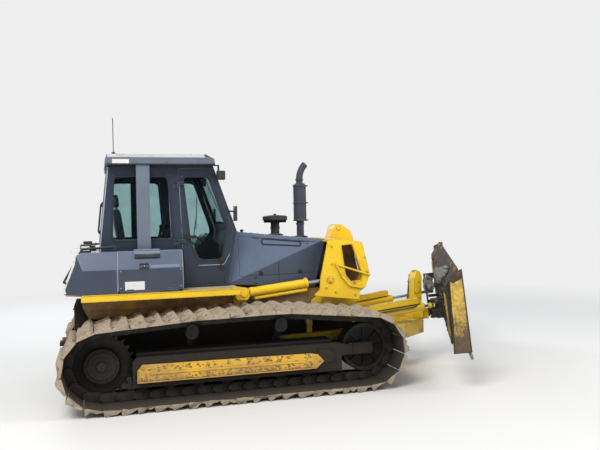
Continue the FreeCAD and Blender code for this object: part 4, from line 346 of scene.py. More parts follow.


# Running gear.
# Cast sprockets, idlers and rollers turn inside welded track frames. A long yellow plate guards the
# bottom rollers. Hub covers and guards are bolted on, and soil dries on everything here.

# painted shade: the cast steel and the track frames' paint are darkened to near-black, with dark soil, for the deep
# shade round the running gear
cast_look = paint("oily_cast_steel_in_painted_shade", (0.014, 0.014, 0.014), (0.038, 0.031, 0.024), 1.0, 0.34, 0.62, corner_shade_share=0.20,
                  reach=0.5)
under_look = paint("soiled_frame_paint_in_painted_shade", (0.012, 0.011, 0.010), (0.034, 0.027, 0.020), 1.1, 0.36, 0.65,
                   corner_shade_share=0.18, reach=0.5)
guard_look = paint("soiled_guard_paint", (0.92, 0.53, 0.040), (0.64, 0.37, 0.09), 0.60, 0.36, 0.55,
                   (0.22, 0.15, 0.07), 0.62)
bolt_look = paint("dull_bolt_steel", (0.12, 0.11, 0.095), (0.22, 0.17, 0.12), 1.2, 0.34, 0.45)
dress(cast_look, "sprockets", "idlers", "track_rollers", "final_drives", "angle_trunnion_right", "angle_trunnion_left")
dress(under_look, "track_frames", "equalizer_bar")
dress(guard_look, "roller_guards")


def round_part(places, axis, profile, sides=20):
    """A turned part at each place. A point is the place plus height times the axis plus radius times
    across * cos + over * sin of its angle; the profile lists radius and height from end to end."""
    axis = np.asarray(axis, float) / np.linalg.norm(axis)
    across = np.cross(axis, np.eye(3)[np.argmin(np.abs(axis))])
    across /= np.linalg.norm(across)
    over = np.cross(axis, across)
    angle = 2 * np.pi * (np.arange(sides) + 0.5) / sides
    radius, height = np.asarray(profile, float).T
    spokes = np.cos(angle)[:, None] * across + np.sin(angle)[:, None] * over
    ring = radius[:, None, None] * spokes + height[:, None, None] * axis
    places = np.atleast_2d(np.asarray(places, float))
    return outward(places[:, None, None, :] + ring, loft_faces(len(places), sides, len(radius)))


def bolts(places, axis, size):
    """Hexagon heads with a washer, standing on a face."""
    washer = round_part(places, axis, ((size * 1.35, -0.003), (size * 1.35, size * 0.22)), 12)
    head = round_part(places, axis, ((size, -0.003), (size, size * 0.9), (size * 0.82, size * 1.05)), 6)
    return [washer, head]


def ring_of(centre, radius, number, start=0.0):
    """Places on an upright circle across the machine: centre plus radius times cos and sin."""
    angle = start + 2 * np.pi * np.arange(number) / number
    x, y, z = centre
    return np.c_[x + radius * np.cos(angle), np.full(number, y), z + radius * np.sin(angle)]


def slab(outline, push):
    """A flat part: its outline and the same outline moved by a vector, joined round the rim."""
    outline = np.asarray(outline, float)
    outline = outline[None] if outline.ndim == 2 else outline
    points = np.stack([outline, outline + np.asarray(push, float)], 1)
    return outward(points, loft_faces(len(outline), outline.shape[1], 2))


def block(low, high):
    """A brick between two corners."""
    (x0, y0, z0), (x1, y1, z1) = low, high
    return slab(((x0, y0, z0), (x1, y0, z0), (x1, y1, z0), (x0, y1, z0)), (0, 0, z1 - z0))


def both_sides(parts):
    return list(parts) + [other_side(part) for part in parts]


def soften(piece, width, steps=2):
    """Rounds a piece's edges."""
    edge = piece.modifiers.new("edge", "BEVEL")
    edge.width = width
    edge.segments = steps
    edge.limit_method = "ANGLE"
    return piece


OUT = (0, -1, 0)
hub = (SPROCKET[0], -1.180, SPROCKET[1])
cover = round_part([hub], OUT, ((0.165, -0.002), (0.165, 0.008), (0.150, 0.014), (0.062, 0.018), (0.060, 0.034), (0.050, 0.040)), 36)
ribs = round_part([hub], OUT, ((0.110, 0.0), (0.110, 0.022), (0.098, 0.022), (0.098, 0.0)), 36)
hub_parts = both_sides([cover, ribs] + bolts(ring_of(hub, 0.182, 16), OUT, 0.011) + bolts(ring_of(hub, 0.032, 3), (0, -1, 0), 0.006))
disc = (SPROCKET[0], -1.099, SPROCKET[1])
hub_parts += both_sides(bolts(ring_of(disc, 0.245, 20), OUT, 0.012)
                        + [round_part([disc], OUT, ((0.322, -0.002), (0.322, 0.006), (0.300, 0.010), (0.218, 0.010), (0.215, -0.002)), 40)])
add_piece("sprocket_hub_covers", hub_parts, cast_look, "chassis")

front_hub = (IDLER[0], -1.175, IDLER[1])
idler_parts = [round_part([front_hub], OUT, ((0.080, -0.002), (0.080, 0.012), (0.070, 0.018), (0.030, 0.018)), 30)]
idler_parts += bolts(ring_of(front_hub, 0.088, 6), OUT, 0.008)
for k in range(8):
    turn = k * math.pi / 4
    run, aside = np.array((math.cos(turn), 0, math.sin(turn))), np.array((-math.sin(turn), 0, math.cos(turn))) * 0.010
    root = np.array((IDLER[0], -1.113, IDLER[1]))
    a, b = root + run * 0.09, root + run * 0.262
    idler_parts.append(slab((a - aside, b - aside, b + aside, a + aside), (0, -0.030, 0)))
add_piece("idler_ribs_and_caps", both_sides(idler_parts), cast_look, "chassis")

carrier_places = [(-0.580, -1.170, 0.870), (0.530, -1.170, 0.890)]
caps = [round_part(carrier_places, OUT, ((0.074, -0.002), (0.074, 0.010), (0.062, 0.016), (0.022, 0.016), (0.018, 0.026)), 28)]
for place in carrier_places:
    caps += bolts(ring_of(np.add(place, (0, -0.012, 0)), 0.046, 6), OUT, 0.006)
add_piece("carrier_roller_caps", both_sides(caps), cast_look, "chassis")

# roller guard: a lip along the lower edge, a pressed stiffener and bolts along both edges
lip = slab(((-1.236, -1.2562, 0.297), (0.955, -1.2562, 0.297), (0.955, -1.2562, 0.309), (-1.236, -1.2562, 0.309)), (0, -0.022, 0))
rim = slab(((-1.238, -1.2562, 0.300), (-1.226, -1.2562, 0.300), (-1.226, -1.2562, 0.445), (-1.238, -1.2562, 0.440)), (0, -0.014, 0))
swage = slab(((-1.10, -1.2555, 0.385), (0.80, -1.2555, 0.378), (0.84, -1.2555, 0.392), (0.80, -1.2555, 0.408), (-1.10, -1.2555, 0.415)),
             (0, -0.007, 0))
soften(add_piece("roller_guard_lips", both_sides([lip, rim, swage]), guard_look, "chassis"), 0.004)
heads = [(x, -1.256, z) for x in np.linspace(-1.17, 0.86, 9) for z in (0.335, 0.462)]
add_piece("roller_guard_bolts", both_sides(bolts(heads, OUT, 0.013)), guard_look, "chassis")
grit = 420
gx, gz = chance.uniform(-1.22, 0.90, grit), 0.306 + 0.19 * chance.uniform(0, 1, grit) ** 3.0
size = chance.uniform(0.004, 0.013, (grit, 1, 1)) * chance.uniform(0.6, 1.3, (grit, 5, 7))
lean, turn = np.pi * (np.arange(5) + 0.5)[:, None] / 5, 2 * np.pi * np.arange(7) / 7
spots = np.stack(np.broadcast_arrays(gx[:, None, None] + 1.5 * size * np.sin(lean) * np.cos(turn), -1.2555 - 0.6 * size * np.cos(lean),
                                     gz[:, None, None] + size * np.sin(lean) * np.sin(turn)), -1)
clods = outward(spots, loft_faces(grit, 7, 5))
grit_look = paint("dried_guard_soil", (0.24, 0.155, 0.065), (0.36, 0.25, 0.12), 0.6, 0.35, 0.9)
add_piece("roller_guard_clods", both_sides([clods]), grit_look, "chassis")

frame_cover = [slab(((0.98, -1.2402, 0.36), (1.20, -1.2402, 0.36), (1.20, -1.2402, 0.52), (0.98, -1.2402, 0.54)), (0, -0.010, 0))]
frame_cover += bolts([(x, -1.250, z) for x in (1.00, 1.18) for z in (0.38, 0.505)], OUT, 0.009)
yoke = [slab(((1.46, -1.2302, 0.435), (1.72, -1.2302, 0.435), (1.72, -1.2302, 0.575), (1.46, -1.2302, 0.575)), (0, -0.012, 0))]
yoke += bolts([(x, -1.242, z) for x in (1.49, 1.69) for z in (0.455, 0.555)], OUT, 0.011)
add_piece("track_frame_covers", both_sides(frame_cover + yoke), under_look, "chassis")


# Main frame and walkways.
# Welded plate in warm yellow enamel: the hull between the tracks, and a walkway with a deep lip
# along each side of the cab. Ribs stiffen the skirt under the walkway. The skirt is painted a darker, brownish yellow
# and the hull a dark brown, both as painted shade, and the skirt has dust on it.

yellow_look = paint("yellow_enamel", (0.93, 0.60, 0.015), (0.50, 0.37, 0.20), 1.25, 0.20, 0.34, (0.30, 0.20, 0.08), 0.42)
# painted shade: the skirt's yellow is a darker, brownish copy for the shade under the walkway; the soil on it is dust
skirt_look = paint("dusty_skirt_yellow_in_painted_shade", (0.72, 0.43, 0.04), (0.34, 0.225, 0.115), 1.7, 0.40, 0.5, (0.16, 0.10, 0.05), 0.45)
dress(yellow_look, "fenders")
# painted shade: the hull's yellow is darkened to a dark brown, with near-black soil, for the shade under the machine
hull_look = paint("hull_yellow_in_painted_shade", (0.16, 0.10, 0.02), (0.045, 0.034, 0.024), 1.9, 0.62, 0.6, corner_shade_share=0.25, reach=0.5)
dress(hull_look, "main_frame")
dress(skirt_look, "frame_skirts", "frame_pivots")
SKIRT_Y = -0.5945
ribs = [block((x, -0.612, 1.000), (x + 0.014, SKIRT_Y, 1.240)) for x in (-0.800, -0.720)]
ribs.append(block((-1.745, -0.606, 1.082), (-0.800, SKIRT_Y, 1.094)))
ribs.append(block((-1.760, -0.604, 0.990), (0.900, SKIRT_Y, 1.002)))
soften(add_piece("skirt_ribs", both_sides(ribs), skirt_look, "chassis"), 0.002)
heads = [(x, -0.5948, z) for x in np.linspace(-1.62, 1.00, 8) for z in (1.040, 1.205)]
add_piece("skirt_bolts", both_sides(bolts(heads, OUT, 0.012)), skirt_look, "chassis")

# rubber tread strips on the walkway beside the door, and a bright wear strip along the lip
rubber_look = paint("worn_black_rubber", (0.022, 0.022, 0.023), (0.20, 0.16, 0.12), 1.6, 0.22, 0.72)
treads = [block((-0.60, y, 1.3345), (-0.02, y + 0.05, 1.3395)) for y in (-1.02, -0.93, -0.84)]
tread_look = paint("dusty_tread_rubber", (0.26, 0.24, 0.21), (0.50, 0.45, 0.38), 1.6, 0.55, 0.80)
soften(add_piece("walkway_tread_strips", both_sides(treads), tread_look, "chassis"), 0.0015)
lip = [block((-1.846, -1.0845, 1.322), (0.036, -1.0795, 1.3345)), block((-1.846, -1.0845, 1.250), (0.036, -1.0795, 1.258))]
soften(add_piece("walkway_edge_beads", both_sides(lip), yellow_look, "chassis"), 0.0015)
pin_x, pin_z = 0.160, 1.2235
heads_front = bolts(ring_of((pin_x, -0.733, pin_z), 0.033, 4, 0.78), OUT, 0.006)
boss = round_part([(pin_x, -0.732, pin_z)], OUT, ((0.046, -0.004), (0.046, 0.010), (0.022, 0.012)), 24)
add_piece("walkway_bolts", both_sides(heads_front + [boss]), yellow_look, "chassis")

rear_plate = [block((-1.958, -0.30, 0.78), (-1.949, 0.30, 1.12)), block((-1.962, -0.16, 0.70), (-1.949, 0.16, 0.74))]
rear_plate += bolts([(-1.958, y, z) for y in (-0.27, 0, 0.27) for z in (0.81, 1.09)], (-1, 0, 0), 0.013)
add_piece("hull_rear_cover", rear_plate, skirt_look, "chassis")
tow_pin = round_part([(-2.090, 0, 0.455)], (0, 0, 1), ((0.024, 0.0), (0.024, 0.215), (0.036, 0.217), (0.036, 0.236), (0.028, 0.242)), 24)
add_piece("drawbar_pin", [tow_pin], bolt_look, "chassis")


# Fuel tank and side boxes.
# Sheet steel in slate blue-grey enamel. The lid of each side box has a crease along its middle, a
# round latch, a rubber pad beside the post and a plain white plate. The tank has a filler cap.

# painted shade: the upright lower faces of the tank and side boxes keep half the tone of the faces that lean back
slate_look = paint("slate_enamel", (0.092, 0.118, 0.178), (0.34, 0.28, 0.21), 1.5, 0.16, 0.36, (0.24, 0.26, 0.29), 0.46,
                   fold=0.50)
dress(slate_look, "fuel_tank", "side_boxes", "side_cover_right", "side_cover_left")


def plain_look(name, colour, rough, metallic=0.0, spread=0.12):
    """A bare or moulded finish whose tone and gloss drift a little over the surface."""
    made, tree, surface = new_material(name)
    place = node(tree, "ShaderNodeTexCoord").outputs["Object"]
    cloud = node(tree, "ShaderNodeTexNoise", {"Vector": place, "Scale": 24.0, "Detail": 6.0, "Roughness": 0.7})
    tone = node(tree, "ShaderNodeMapRange", {"Value": cloud.outputs[0], 1: 0.3, 2: 0.7, 3: 1 - spread, 4: 1 + spread * 0.5})
    shade = node(tree, "ShaderNodeHueSaturation", {"Color": (*colour, 1), "Value": tone.outputs[0]})
    haze = node(tree, "ShaderNodeMapRange", {"Value": cloud.outputs[0], 1: 0.3, 2: 0.7, 3: rough * 0.8, 4: min(1.0, rough * 1.25)})
    tree.links.new(shade.outputs[0], surface.inputs["Base Color"])
    tree.links.new(haze.outputs[0], surface.inputs["Roughness"])
    surface.inputs["Metallic"].default_value = metallic
    return made


black_look = plain_look("black_fitting", (0.016, 0.016, 0.018), 0.42)
# white_look, pale_look and band_look also paint highlights: strips on the tank's corner and split, along the lid and
# cab edges and above the lid's crease
white_look = plain_look("white_plate_and_highlight", (0.74, 0.73, 0.71), 0.40, spread=0.06)
pale_look = plain_look("pale_trim_and_highlight", (0.33, 0.36, 0.41), 0.42)
band_look = plain_look("light_slate_and_crease_highlight", (0.17, 0.205, 0.285), 0.38)
seal_look = plain_look("window_rubber", (0.014, 0.019, 0.027), 0.55)

# lid geometry: an upright face at LID_OUT up to the crease, then a face that leans in to the top
LID_OUT, LID_TOP_OUT, CREASE, LID_TOP = 1.080, 1.000, 1.620, 1.830
lean = np.array((0, -(LID_TOP - CREASE), -(LID_OUT - LID_TOP_OUT)))
lean_out = lean / np.linalg.norm(lean) * (1, 1, -1)


def on_lid(x, z):
    """The point of the right lid's outer skin at x and z."""
    share = max(0.0, (z - CREASE) / (LID_TOP - CREASE))
    return np.array((x, -(LID_OUT - share * (LID_OUT - LID_TOP_OUT)), z))


def lid_strip(x0, x1, z0, z1, depth):
    """A thin plate on the leaning or upright face between two heights."""
    push = lean_out * depth if z0 >= CREASE - 0.001 else np.array((0, -depth, 0))
    corners = [on_lid(x0, z0), on_lid(x1, z0), on_lid(x1, z1), on_lid(x0, z1)]
    return slab(np.array(corners) - push * 0.3, push * 1.3)


for side in ("right", "left"):
    flip = (lambda parts: parts) if side == "right" else (lambda parts: [other_side(part) for part in parts])
    # painted highlights: pale strips along the lid's front, rear and top edges
    lid_edge_highlights = [lid_strip(x, x + 0.007, z0, z1, 0.0022) for x in (-1.432, -0.667) for z0, z1 in ((1.364, 1.620), (1.620, 1.828))]
    lid_edge_highlights.append(block((-1.432, -1.000, 1.8295), (-0.660, -0.992, 1.8325)))
    add_piece("lid_edge_highlight_strips_" + side, flip(lid_edge_highlights), pale_look, "side_cover_" + side)
    plate = [slab(((-1.349, -1.0795, 1.372), (-1.120, -1.0795, 1.372), (-1.120, -1.0795, 1.474), (-1.349, -1.0795, 1.474)), (0, -0.0025, 0))]
    soften(add_piece("lid_blank_plate_" + side, flip(plate), white_look, "side_cover_" + side), 0.0008)
    # painted highlight: a lighter slate strip just above the lid's crease
    add_piece("lid_crease_highlight_" + side, flip([lid_strip(-1.050, -0.700, 1.628, 1.664, 0.003)]), band_look, "side_cover_" + side)
    middle = on_lid(-1.122, 1.650)
    latch = [lid_strip(-1.168, -1.076, 1.668, 1.686, 0.010), lid_strip(-1.168, -1.076, 1.622, 1.640, 0.010),
             lid_strip(-1.176, -1.168, 1.622, 1.686, 0.006), lid_strip(-1.076, -1.068, 1.622, 1.686, 0.006)]
    pull = [round_part([middle + lean_out * 0.005], lean_out, ((0.020, 0.0), (0.020, 0.007), (0.014, 0.010)), 20)]
    soften(add_piece("lid_latch_" + side, flip(latch + pull), black_look, "side_cover_" + side), 0.003, 3)
    keyhole = [round_part([middle + lean_out * 0.014], lean_out, ((0.008, 0.0), (0.008, 0.003)), 16)]
    add_piece("lid_latch_barrel_" + side, flip(keyhole), pale_look, "side_cover_" + side)
    foot = [block((-1.235, -1.000, 1.826), (-0.925, -0.860, 1.852)), lid_strip(-1.235, -0.925, 1.792, 1.829, 0.010)]
    soften(add_piece("lid_post_foot_" + side, flip(foot), band_look, "side_cover_" + side), 0.004)
    pad = [lid_strip(-1.228, -0.932, 1.744, 1.790, 0.024)]
    soften(add_piece("lid_rubber_pad_" + side, flip(pad), rubber_look, "side_cover_" + side), 0.012, 4)
    screws = bolts([on_lid(-1.395, 1.600), on_lid(-0.69, 1.600), on_lid(-1.395, 1.40), on_lid(-0.69, 1.40)], OUT, 0.006)
    add_piece("lid_screws_" + side, flip(screws), pale_look, "side_cover_" + side)

filler = round_part([(-1.745, -0.30, 1.829)], (0, 0, 1), ((0.075, 0.0), (0.075, 0.012), (0.058, 0.014), (0.058, 0.030), (0.066, 0.032),
                                                        (0.066, 0.058), (0.060, 0.066), (0.020, 0.068), (0.018, 0.076)), 32)
add_piece("tank_filler_cap", [filler], black_look, "chassis")
gauge = round_part([(-1.745, 0.25, 1.829)], (0, 0, 1), ((0.045, 0.0), (0.045, 0.010), (0.036, 0.014), (0.012, 0.015)), 28)
# painted highlight: the upright pale line where the tank meets the lid; a second pale line runs along the tank's top
pale_tank_lines = [block((-1.4400, -1.0805, 1.340), (-1.4365, -1.0790, 1.620)), block((-1.985, -0.60, 1.829), (-1.45, -0.596, 1.8315))]
add_piece("tank_gauge_and_pale_lines", both_sides(pale_tank_lines) + [gauge], pale_look, "chassis")
rear_face = np.array(((-2.055, 1.395), (-1.895, 1.800)))
run = (rear_face[1] - rear_face[0]) / np.linalg.norm(rear_face[1] - rear_face[0])
out_x, out_z = -run[1], run[0]


def on_tank_rear(y, share):
    x, z = rear_face[0] + (rear_face[1] - rear_face[0]) * share
    return np.array((x, y, z))


def on_corner(height, inward=0.0):
    """A point on the tank's cut corner: where it meets the rear face at a height, then along the cut."""
    back = rear_face[0][0] + (height - 1.395) * run[0] / run[1] if height > 1.395 else -2.040 - (height - 1.335) * 0.25
    return np.array((back + 0.731 * inward, -(0.820 + (back + 2.105) * 0.932) - 0.682 * inward, height))


# painted highlight: a white strip along the tank's cut corner
edge = [on_corner(1.345), on_corner(1.345, 0.034), on_corner(1.395, 0.034), on_corner(1.700, 0.034), on_corner(1.780, 0.008),
        on_corner(1.780), on_corner(1.395)]
add_piece("tank_corner_highlight_strips", both_sides([slab(edge, (-0.0027, -0.0029, 0))]), white_look, "chassis")
underside = [slab([(-1.850, -1.055, 1.318), (-2.030, -0.886, 1.318), (-2.030, -0.800, 1.318), (-1.850, -0.800, 1.318)], (0, 0, 0.016))]
soften(add_piece("tank_support_lips", both_sides(underside), skirt_look, "chassis"), 0.002)
hatch = slab([on_tank_rear(y, s) for y, s in ((-0.30, 0.25), (0.30, 0.25), (0.30, 0.75), (-0.30, 0.75))], (out_x * 0.008, 0, out_z * 0.008))
hatch_bolts = bolts([on_tank_rear(y, s) + (out_x * 0.008, 0, out_z * 0.008) for y in (-0.27, 0, 0.27) for s in (0.29, 0.71)], (out_x, 0, out_z), 0.010)
add_piece("tank_rear_hatch", [hatch] + hatch_bolts, slate_look, "chassis")


# Roll-over posts, cab and roof.
# Box-section posts stand outside the side windows and carry the roof. The cab shell and doors are
# darker, the roof's top is pale grey over a slate band, and the tinted panes sit in rubber seals.

post_look = paint("post_enamel", (0.135, 0.165, 0.215), (0.40, 0.35, 0.28), 1.7, 0.14, 0.42, (0.28, 0.29, 0.30), 0.42)
cab_look = paint("dark_cab_enamel", (0.018, 0.030, 0.056), (0.33, 0.28, 0.22), 1.6, 0.08, 0.40, (0.16, 0.17, 0.19), 0.40)
roof_look = paint("slate_roof_enamel", (0.120, 0.145, 0.190), (0.42, 0.38, 0.31), 3.4, 0.14, 0.45, (0.30, 0.31, 0.33), 0.4)
pale_roof_look = paint("pale_roof_enamel", (0.50, 0.53, 0.55), (0.42, 0.38, 0.31), 3.4, 0.16, 0.45)
dress(post_look, "rops_posts")
dress(cab_look, "cab_shell", "cab_door_right", "cab_door_left")
dress(roof_look, "cab_roof")

glass_look, tree, surface = new_material("tinted_pane")
place = node(tree, "ShaderNodeTexCoord").outputs["Object"]
smear = node(tree, "ShaderNodeTexNoise", {"Vector": place, "Scale": 3.2, "Detail": 8.0, "Roughness": 0.7})
film = node(tree, "ShaderNodeMapRange", {"Value": smear.outputs[0], 1: 0.45, 2: 0.75, 3: 0.02, 4: 0.12})
tint = node(tree, "ShaderNodeMapRange", {"Value": smear.outputs[0], 1: 0.3, 2: 0.7, 3: 0.85, 4: 1.1})
shade = node(tree, "ShaderNodeHueSaturation", {"Color": (0.50, 0.64, 0.65, 1), "Value": tint.outputs[0]})
tree.links.new(film.outputs[0], surface.inputs["Roughness"])
tree.links.new(shade.outputs[0], surface.inputs["Base Color"])
surface.inputs["Transmission Weight"].default_value = 1.0
surface.inputs["IOR"].default_value = 1.12
dress(glass_look, "cab_glass", "door_glass_right", "door_glass_left")


def rounded(corners, radius, steps=7):
    """A closed outline with its corners rounded: each is the curve (1-t)^2 a + 2 t (1-t) c + t^2 b, whose
    ends a and b lie at the radius on the corner's two sides."""
    c = np.asarray(corners, float)
    before, after = np.roll(c, 1, 0) - c, np.roll(c, -1, 0) - c
    a = c + radius * before / np.linalg.norm(before, axis=1, keepdims=True)
    b = c + radius * after / np.linalg.norm(after, axis=1, keepdims=True)
    t = np.linspace(0, 1, steps)[None, :, None]
    curve = (1 - t) ** 2 * a[:, None] + 2 * t * (1 - t) * c[:, None] + t ** 2 * b[:, None]
    return curve.reshape(-1, 3)


def ring_faces(ring, rows):
    """Faces of rings joined row by row and the last row to the first."""
    a = np.arange(ring)
    b = (a + 1) % ring
    return [q for r in range(rows) for q in np.c_[r * ring + a, r * ring + b, (r + 1) % rows * ring + b,
                                                  (r + 1) % rows * ring + a].tolist()]


def seal(corners, outside, inside, radius, out, depth):
    """A frame round a flat opening. Its rims are the opening's corners moved along the corner bisectors, outside
    and inside; out is the way off the wall, depth how far it goes in."""
    c = np.asarray(corners, float)
    ahead, back = np.roll(c, -1, 0) - c, np.roll(c, 1, 0) - c
    ahead /= np.linalg.norm(ahead, axis=1, keepdims=True)
    back /= np.linalg.norm(back, axis=1, keepdims=True)
    inward = ahead + back
    half = np.sqrt((1 - (ahead * back).sum(1, keepdims=True)) / 2)
    inward /= np.linalg.norm(inward, axis=1, keepdims=True) * half
    outer = rounded(c - inward * outside, radius * 1.2)
    inner = rounded(c + inward * inside, radius)
    out = np.asarray(out, float)
    rise = 0.35 * outer + 0.65 * inner + out * 0.004
    rows = np.stack([outer - out * 0.001, outer + out * 0.003, rise, inner, inner - out * depth, outer - out * depth * 0.2])
    return outward(rows, ring_faces(rows.shape[1], len(rows)))


CAB_Y = -0.7205
SIDE_WINDOW = [(-1.456, CAB_Y, 2.760), (-0.779, CAB_Y, 2.760), (-0.720, CAB_Y, 1.950), (-1.490, CAB_Y, 1.950)]
DOOR_GLASS = [(-0.612, CAB_Y, 2.755), (-0.526, CAB_Y, 1.905), (-0.418, CAB_Y, 1.672), (-0.118, CAB_Y, 1.670),
              (-0.030, CAB_Y, 2.053), (-0.270, CAB_Y, 2.752)]
FRONT = [(0.048, -0.640, 2.135), (0.048, 0.640, 2.135), (-0.190, 0.640, 2.818), (-0.190, -0.640, 2.818)]
REAR = [(-1.626, -0.620, 1.960), (-1.626, 0.620, 1.960), (-1.528, 0.620, 2.820), (-1.528, -0.620, 2.820)]
front_out = np.array((0.944, 0, 0.330))
rear_out = np.array((-0.994, 0, 0.113))
seals = both_sides([seal(SIDE_WINDOW, 0.012, 0.020, 0.060, OUT, 0.016)])
seals += [seal(np.add(FRONT, front_out * 0.001), 0.016, 0.036, 0.060, front_out, 0.014),
          seal(np.add(REAR, rear_out * 0.001), 0.016, 0.036, 0.060, rear_out, 0.014)]
add_piece("cab_window_seals", seals, seal_look, "chassis")
# painted highlight: a pale strip along each rear edge of the cab
edges = [slab([(-1.628, CAB_Y, 1.345), (-1.612, CAB_Y, 1.345), (-1.612, CAB_Y, 1.920), (-1.628, CAB_Y, 1.920)], (0, -0.003, 0)),
         slab([(-1.628, CAB_Y, 1.920), (-1.612, CAB_Y, 1.920), (-1.504, CAB_Y, 2.866), (-1.520, CAB_Y, 2.866)], (0, -0.003, 0))]
add_piece("cab_rear_edge_highlights", both_sides(edges), pale_look, "chassis")

# roof: pale top sheet over the slate band, black strips of painted shadow under its edge and a plain white plate at its
# side
top = slab([(-1.516, -0.800, 3.0185), (-0.332, -0.800, 3.0185), (-0.332, 0.800, 3.0185), (-1.516, 0.800, 3.0185)], (0, 0, 0.0035))
bevel = slab([(-1.516, -0.8165, 3.0185), (-0.335, -0.8165, 3.0185), (-0.335, -0.860, 2.9758), (-1.518, -0.860, 2.9758)], (0, -0.0012, 0.0012))
brow = slab([(-0.329, -0.855, 3.0185), (-0.329, 0.855, 3.0185), (-0.2165, 0.855, 2.9600), (-0.2165, -0.855, 2.9600)], (0.0007, 0, 0.0013))
add_piece("roof_top_sheet", [top, brow] + both_sides([bevel]), pale_roof_look, "chassis")
roof_edge_shade_strips = both_sides([block((-1.536, -0.8640, 2.8885), (-0.212, -0.8555, 2.899)), block((-1.500, -0.742, 2.868), (-0.240, -0.7195, 2.8895))])
tail = [slab([(-1.5185, -0.855, 3.012), (-1.5185, 0.855, 3.012), (-1.5435, 0.855, 2.952), (-1.5435, -0.855, 2.952)], (-0.0015, 0, 0.0006))]
add_piece("roof_tail_sheet", tail, pale_roof_look, "chassis")
roof_edge_shade_strips += [block((-0.2095, -0.855, 2.8885), (-0.2025, 0.855, 2.900)), block((-1.5400, -0.855, 2.8885), (-1.530, 0.855, 2.899))]
soften(add_piece("roof_underside_shadow_strips", roof_edge_shade_strips, rubber_look, "chassis"), 0.0015)
plate = slab([(-1.461, -0.8598, 2.902), (-1.263, -0.8598, 2.902), (-1.263, -0.8598, 2.952), (-1.461, -0.8598, 2.952)], (0, -0.0022, 0))
add_piece("roof_blank_plates", both_sides([plate]), white_look, "chassis")
heads = [(x, -0.860, z) for x in (-1.20, -0.80, -0.42) for z in (2.925,)]
eyes = [round_part([(x, y, 3.019)], (0, 0, 1), ((0.026, 0.0), (0.026, 0.008), (0.016, 0.010), (0.016, 0.022)), 20)
        for x in (-1.40, -0.48) for y in (-0.62, 0.62)]
add_piece("roof_bolts", both_sides(bolts(heads, OUT, 0.008)) + eyes, roof_look, "chassis")


def tube(corners, radius, bend=0.06, sides=12):
    """A bent tube: its middle line is the corners' path with each inner corner rounded, and a point is the line's point
    plus radius times aside * cos + over * sin, aside being square to the run and to the path's own plane."""
    c = np.asarray(corners, float)
    ahead, back = c[2:] - c[1:-1], c[:-2] - c[1:-1]
    a = c[1:-1] + bend * back / np.linalg.norm(back, axis=1, keepdims=True)
    b = c[1:-1] + bend * ahead / np.linalg.norm(ahead, axis=1, keepdims=True)
    t = np.linspace(0, 1, 7)[None, :, None]
    curve = (1 - t) ** 2 * a[:, None] + 2 * t * (1 - t) * c[1:-1][:, None] + t ** 2 * b[:, None]
    path = np.vstack([c[:1], curve.reshape(-1, 3), c[-1:]])
    run = np.gradient(path, axis=0)
    run /= np.linalg.norm(run, axis=1, keepdims=True)
    square = np.eye(3)[np.argmin(np.abs(run).max(0))]
    aside = np.cross(square, run)
    aside /= np.linalg.norm(aside, axis=1, keepdims=True)
    over = np.cross(run, aside)
    angle = 2 * np.pi * np.arange(sides) / sides
    ring = radius * (np.cos(angle)[None, :, None] * aside[:, None] + np.sin(angle)[None, :, None] * over[:, None])
    return outward(path[:, None, :] + ring, loft_faces(1, sides, len(path)))


grips = [tube([(-0.212, -0.690, 2.700), (-0.165, -0.690, 2.712), (-0.030, -0.690, 2.320), (-0.080, -0.690, 2.305)], 0.011, 0.03)]
grips.append(tube([(-1.585, -0.640, 2.030), (-1.640, -0.640, 2.060), (-1.600, -0.640, 2.420), (-1.558, -0.640, 2.440)], 0.011, 0.03))
add_piece("cab_grab_handles", both_sides(grips), black_look, "chassis")
wiper = [tube([(0.050, 0.06, 2.110), (0.070, 0.06, 2.130), (-0.118, 0.30, 2.660)], 0.006, 0.015, 8),
         slab([(-0.003, 0.262, 2.352), (-0.003, 0.272, 2.352), (-0.158, 0.352, 2.790), (-0.158, 0.342, 2.790)], (0.012, 0, 0.004)),
         round_part([(0.048, 0.06, 2.098)], (0.944, 0, 0.33), ((0.026, -0.004), (0.026, 0.016), (0.014, 0.022)), 20)]
add_piece("front_wiper", wiper, black_look, "chassis")

for side in ("right", "left"):
    flip = (lambda parts: parts) if side == "right" else (lambda parts: [other_side(part) for part in parts])
    body = "cab_door_" + side
    rim = [seal(DOOR_GLASS, 0.010, 0.018, 0.055, OUT, 0.016)]
    add_piece("door_seal_" + side, flip(rim), seal_look, body)
    bright = [tube([(-0.424, -0.7225, 1.614), (-0.097, -0.7225, 1.614), (-0.020, -0.7225, 1.748)], 0.005, 0.03, 8)]
    add_piece("door_sill_line_" + side, flip(bright), pale_look, body)
    handle = [block((-0.135, -0.752, 1.560), (-0.105, -0.7195, 1.600)), block((-0.150, -0.758, 1.560), (-0.135, -0.742, 1.700)),
              block((-0.150, -0.752, 1.660), (-0.105, -0.7195, 1.700))]
    catch = [block((-0.600, -0.748, 1.960), (-0.455, -0.7195, 2.000)), round_part([(-0.470, -0.748, 1.980)], OUT,
             ((0.020, -0.01), (0.020, 0.012), (0.012, 0.016)), 18)]
    soften(add_piece("door_handle_" + side, flip(handle + catch), black_look, body), 0.004, 3)
    arm = [tube([(-0.476, -0.730, 2.010), (-0.462, -0.738, 2.120), (-0.436, -0.716, 2.250)], 0.006, 0.04, 8),
           slab([(-0.450, -0.7050, 2.080), (-0.441, -0.7050, 2.080), (-0.424, -0.7050, 2.480), (-0.433, -0.7050, 2.480)], (0, -0.012, 0))]
    add_piece("door_wiper_" + side, flip(arm), black_look, body)
    bar = [tube([(-0.465, -0.694, 2.000), (-0.440, -0.655, 1.985), (-0.080, -0.655, 1.620), (-0.090, -0.694, 1.600)], 0.010, 0.03)]
    add_piece("door_inner_bar_" + side, flip(bar), black_look, body)


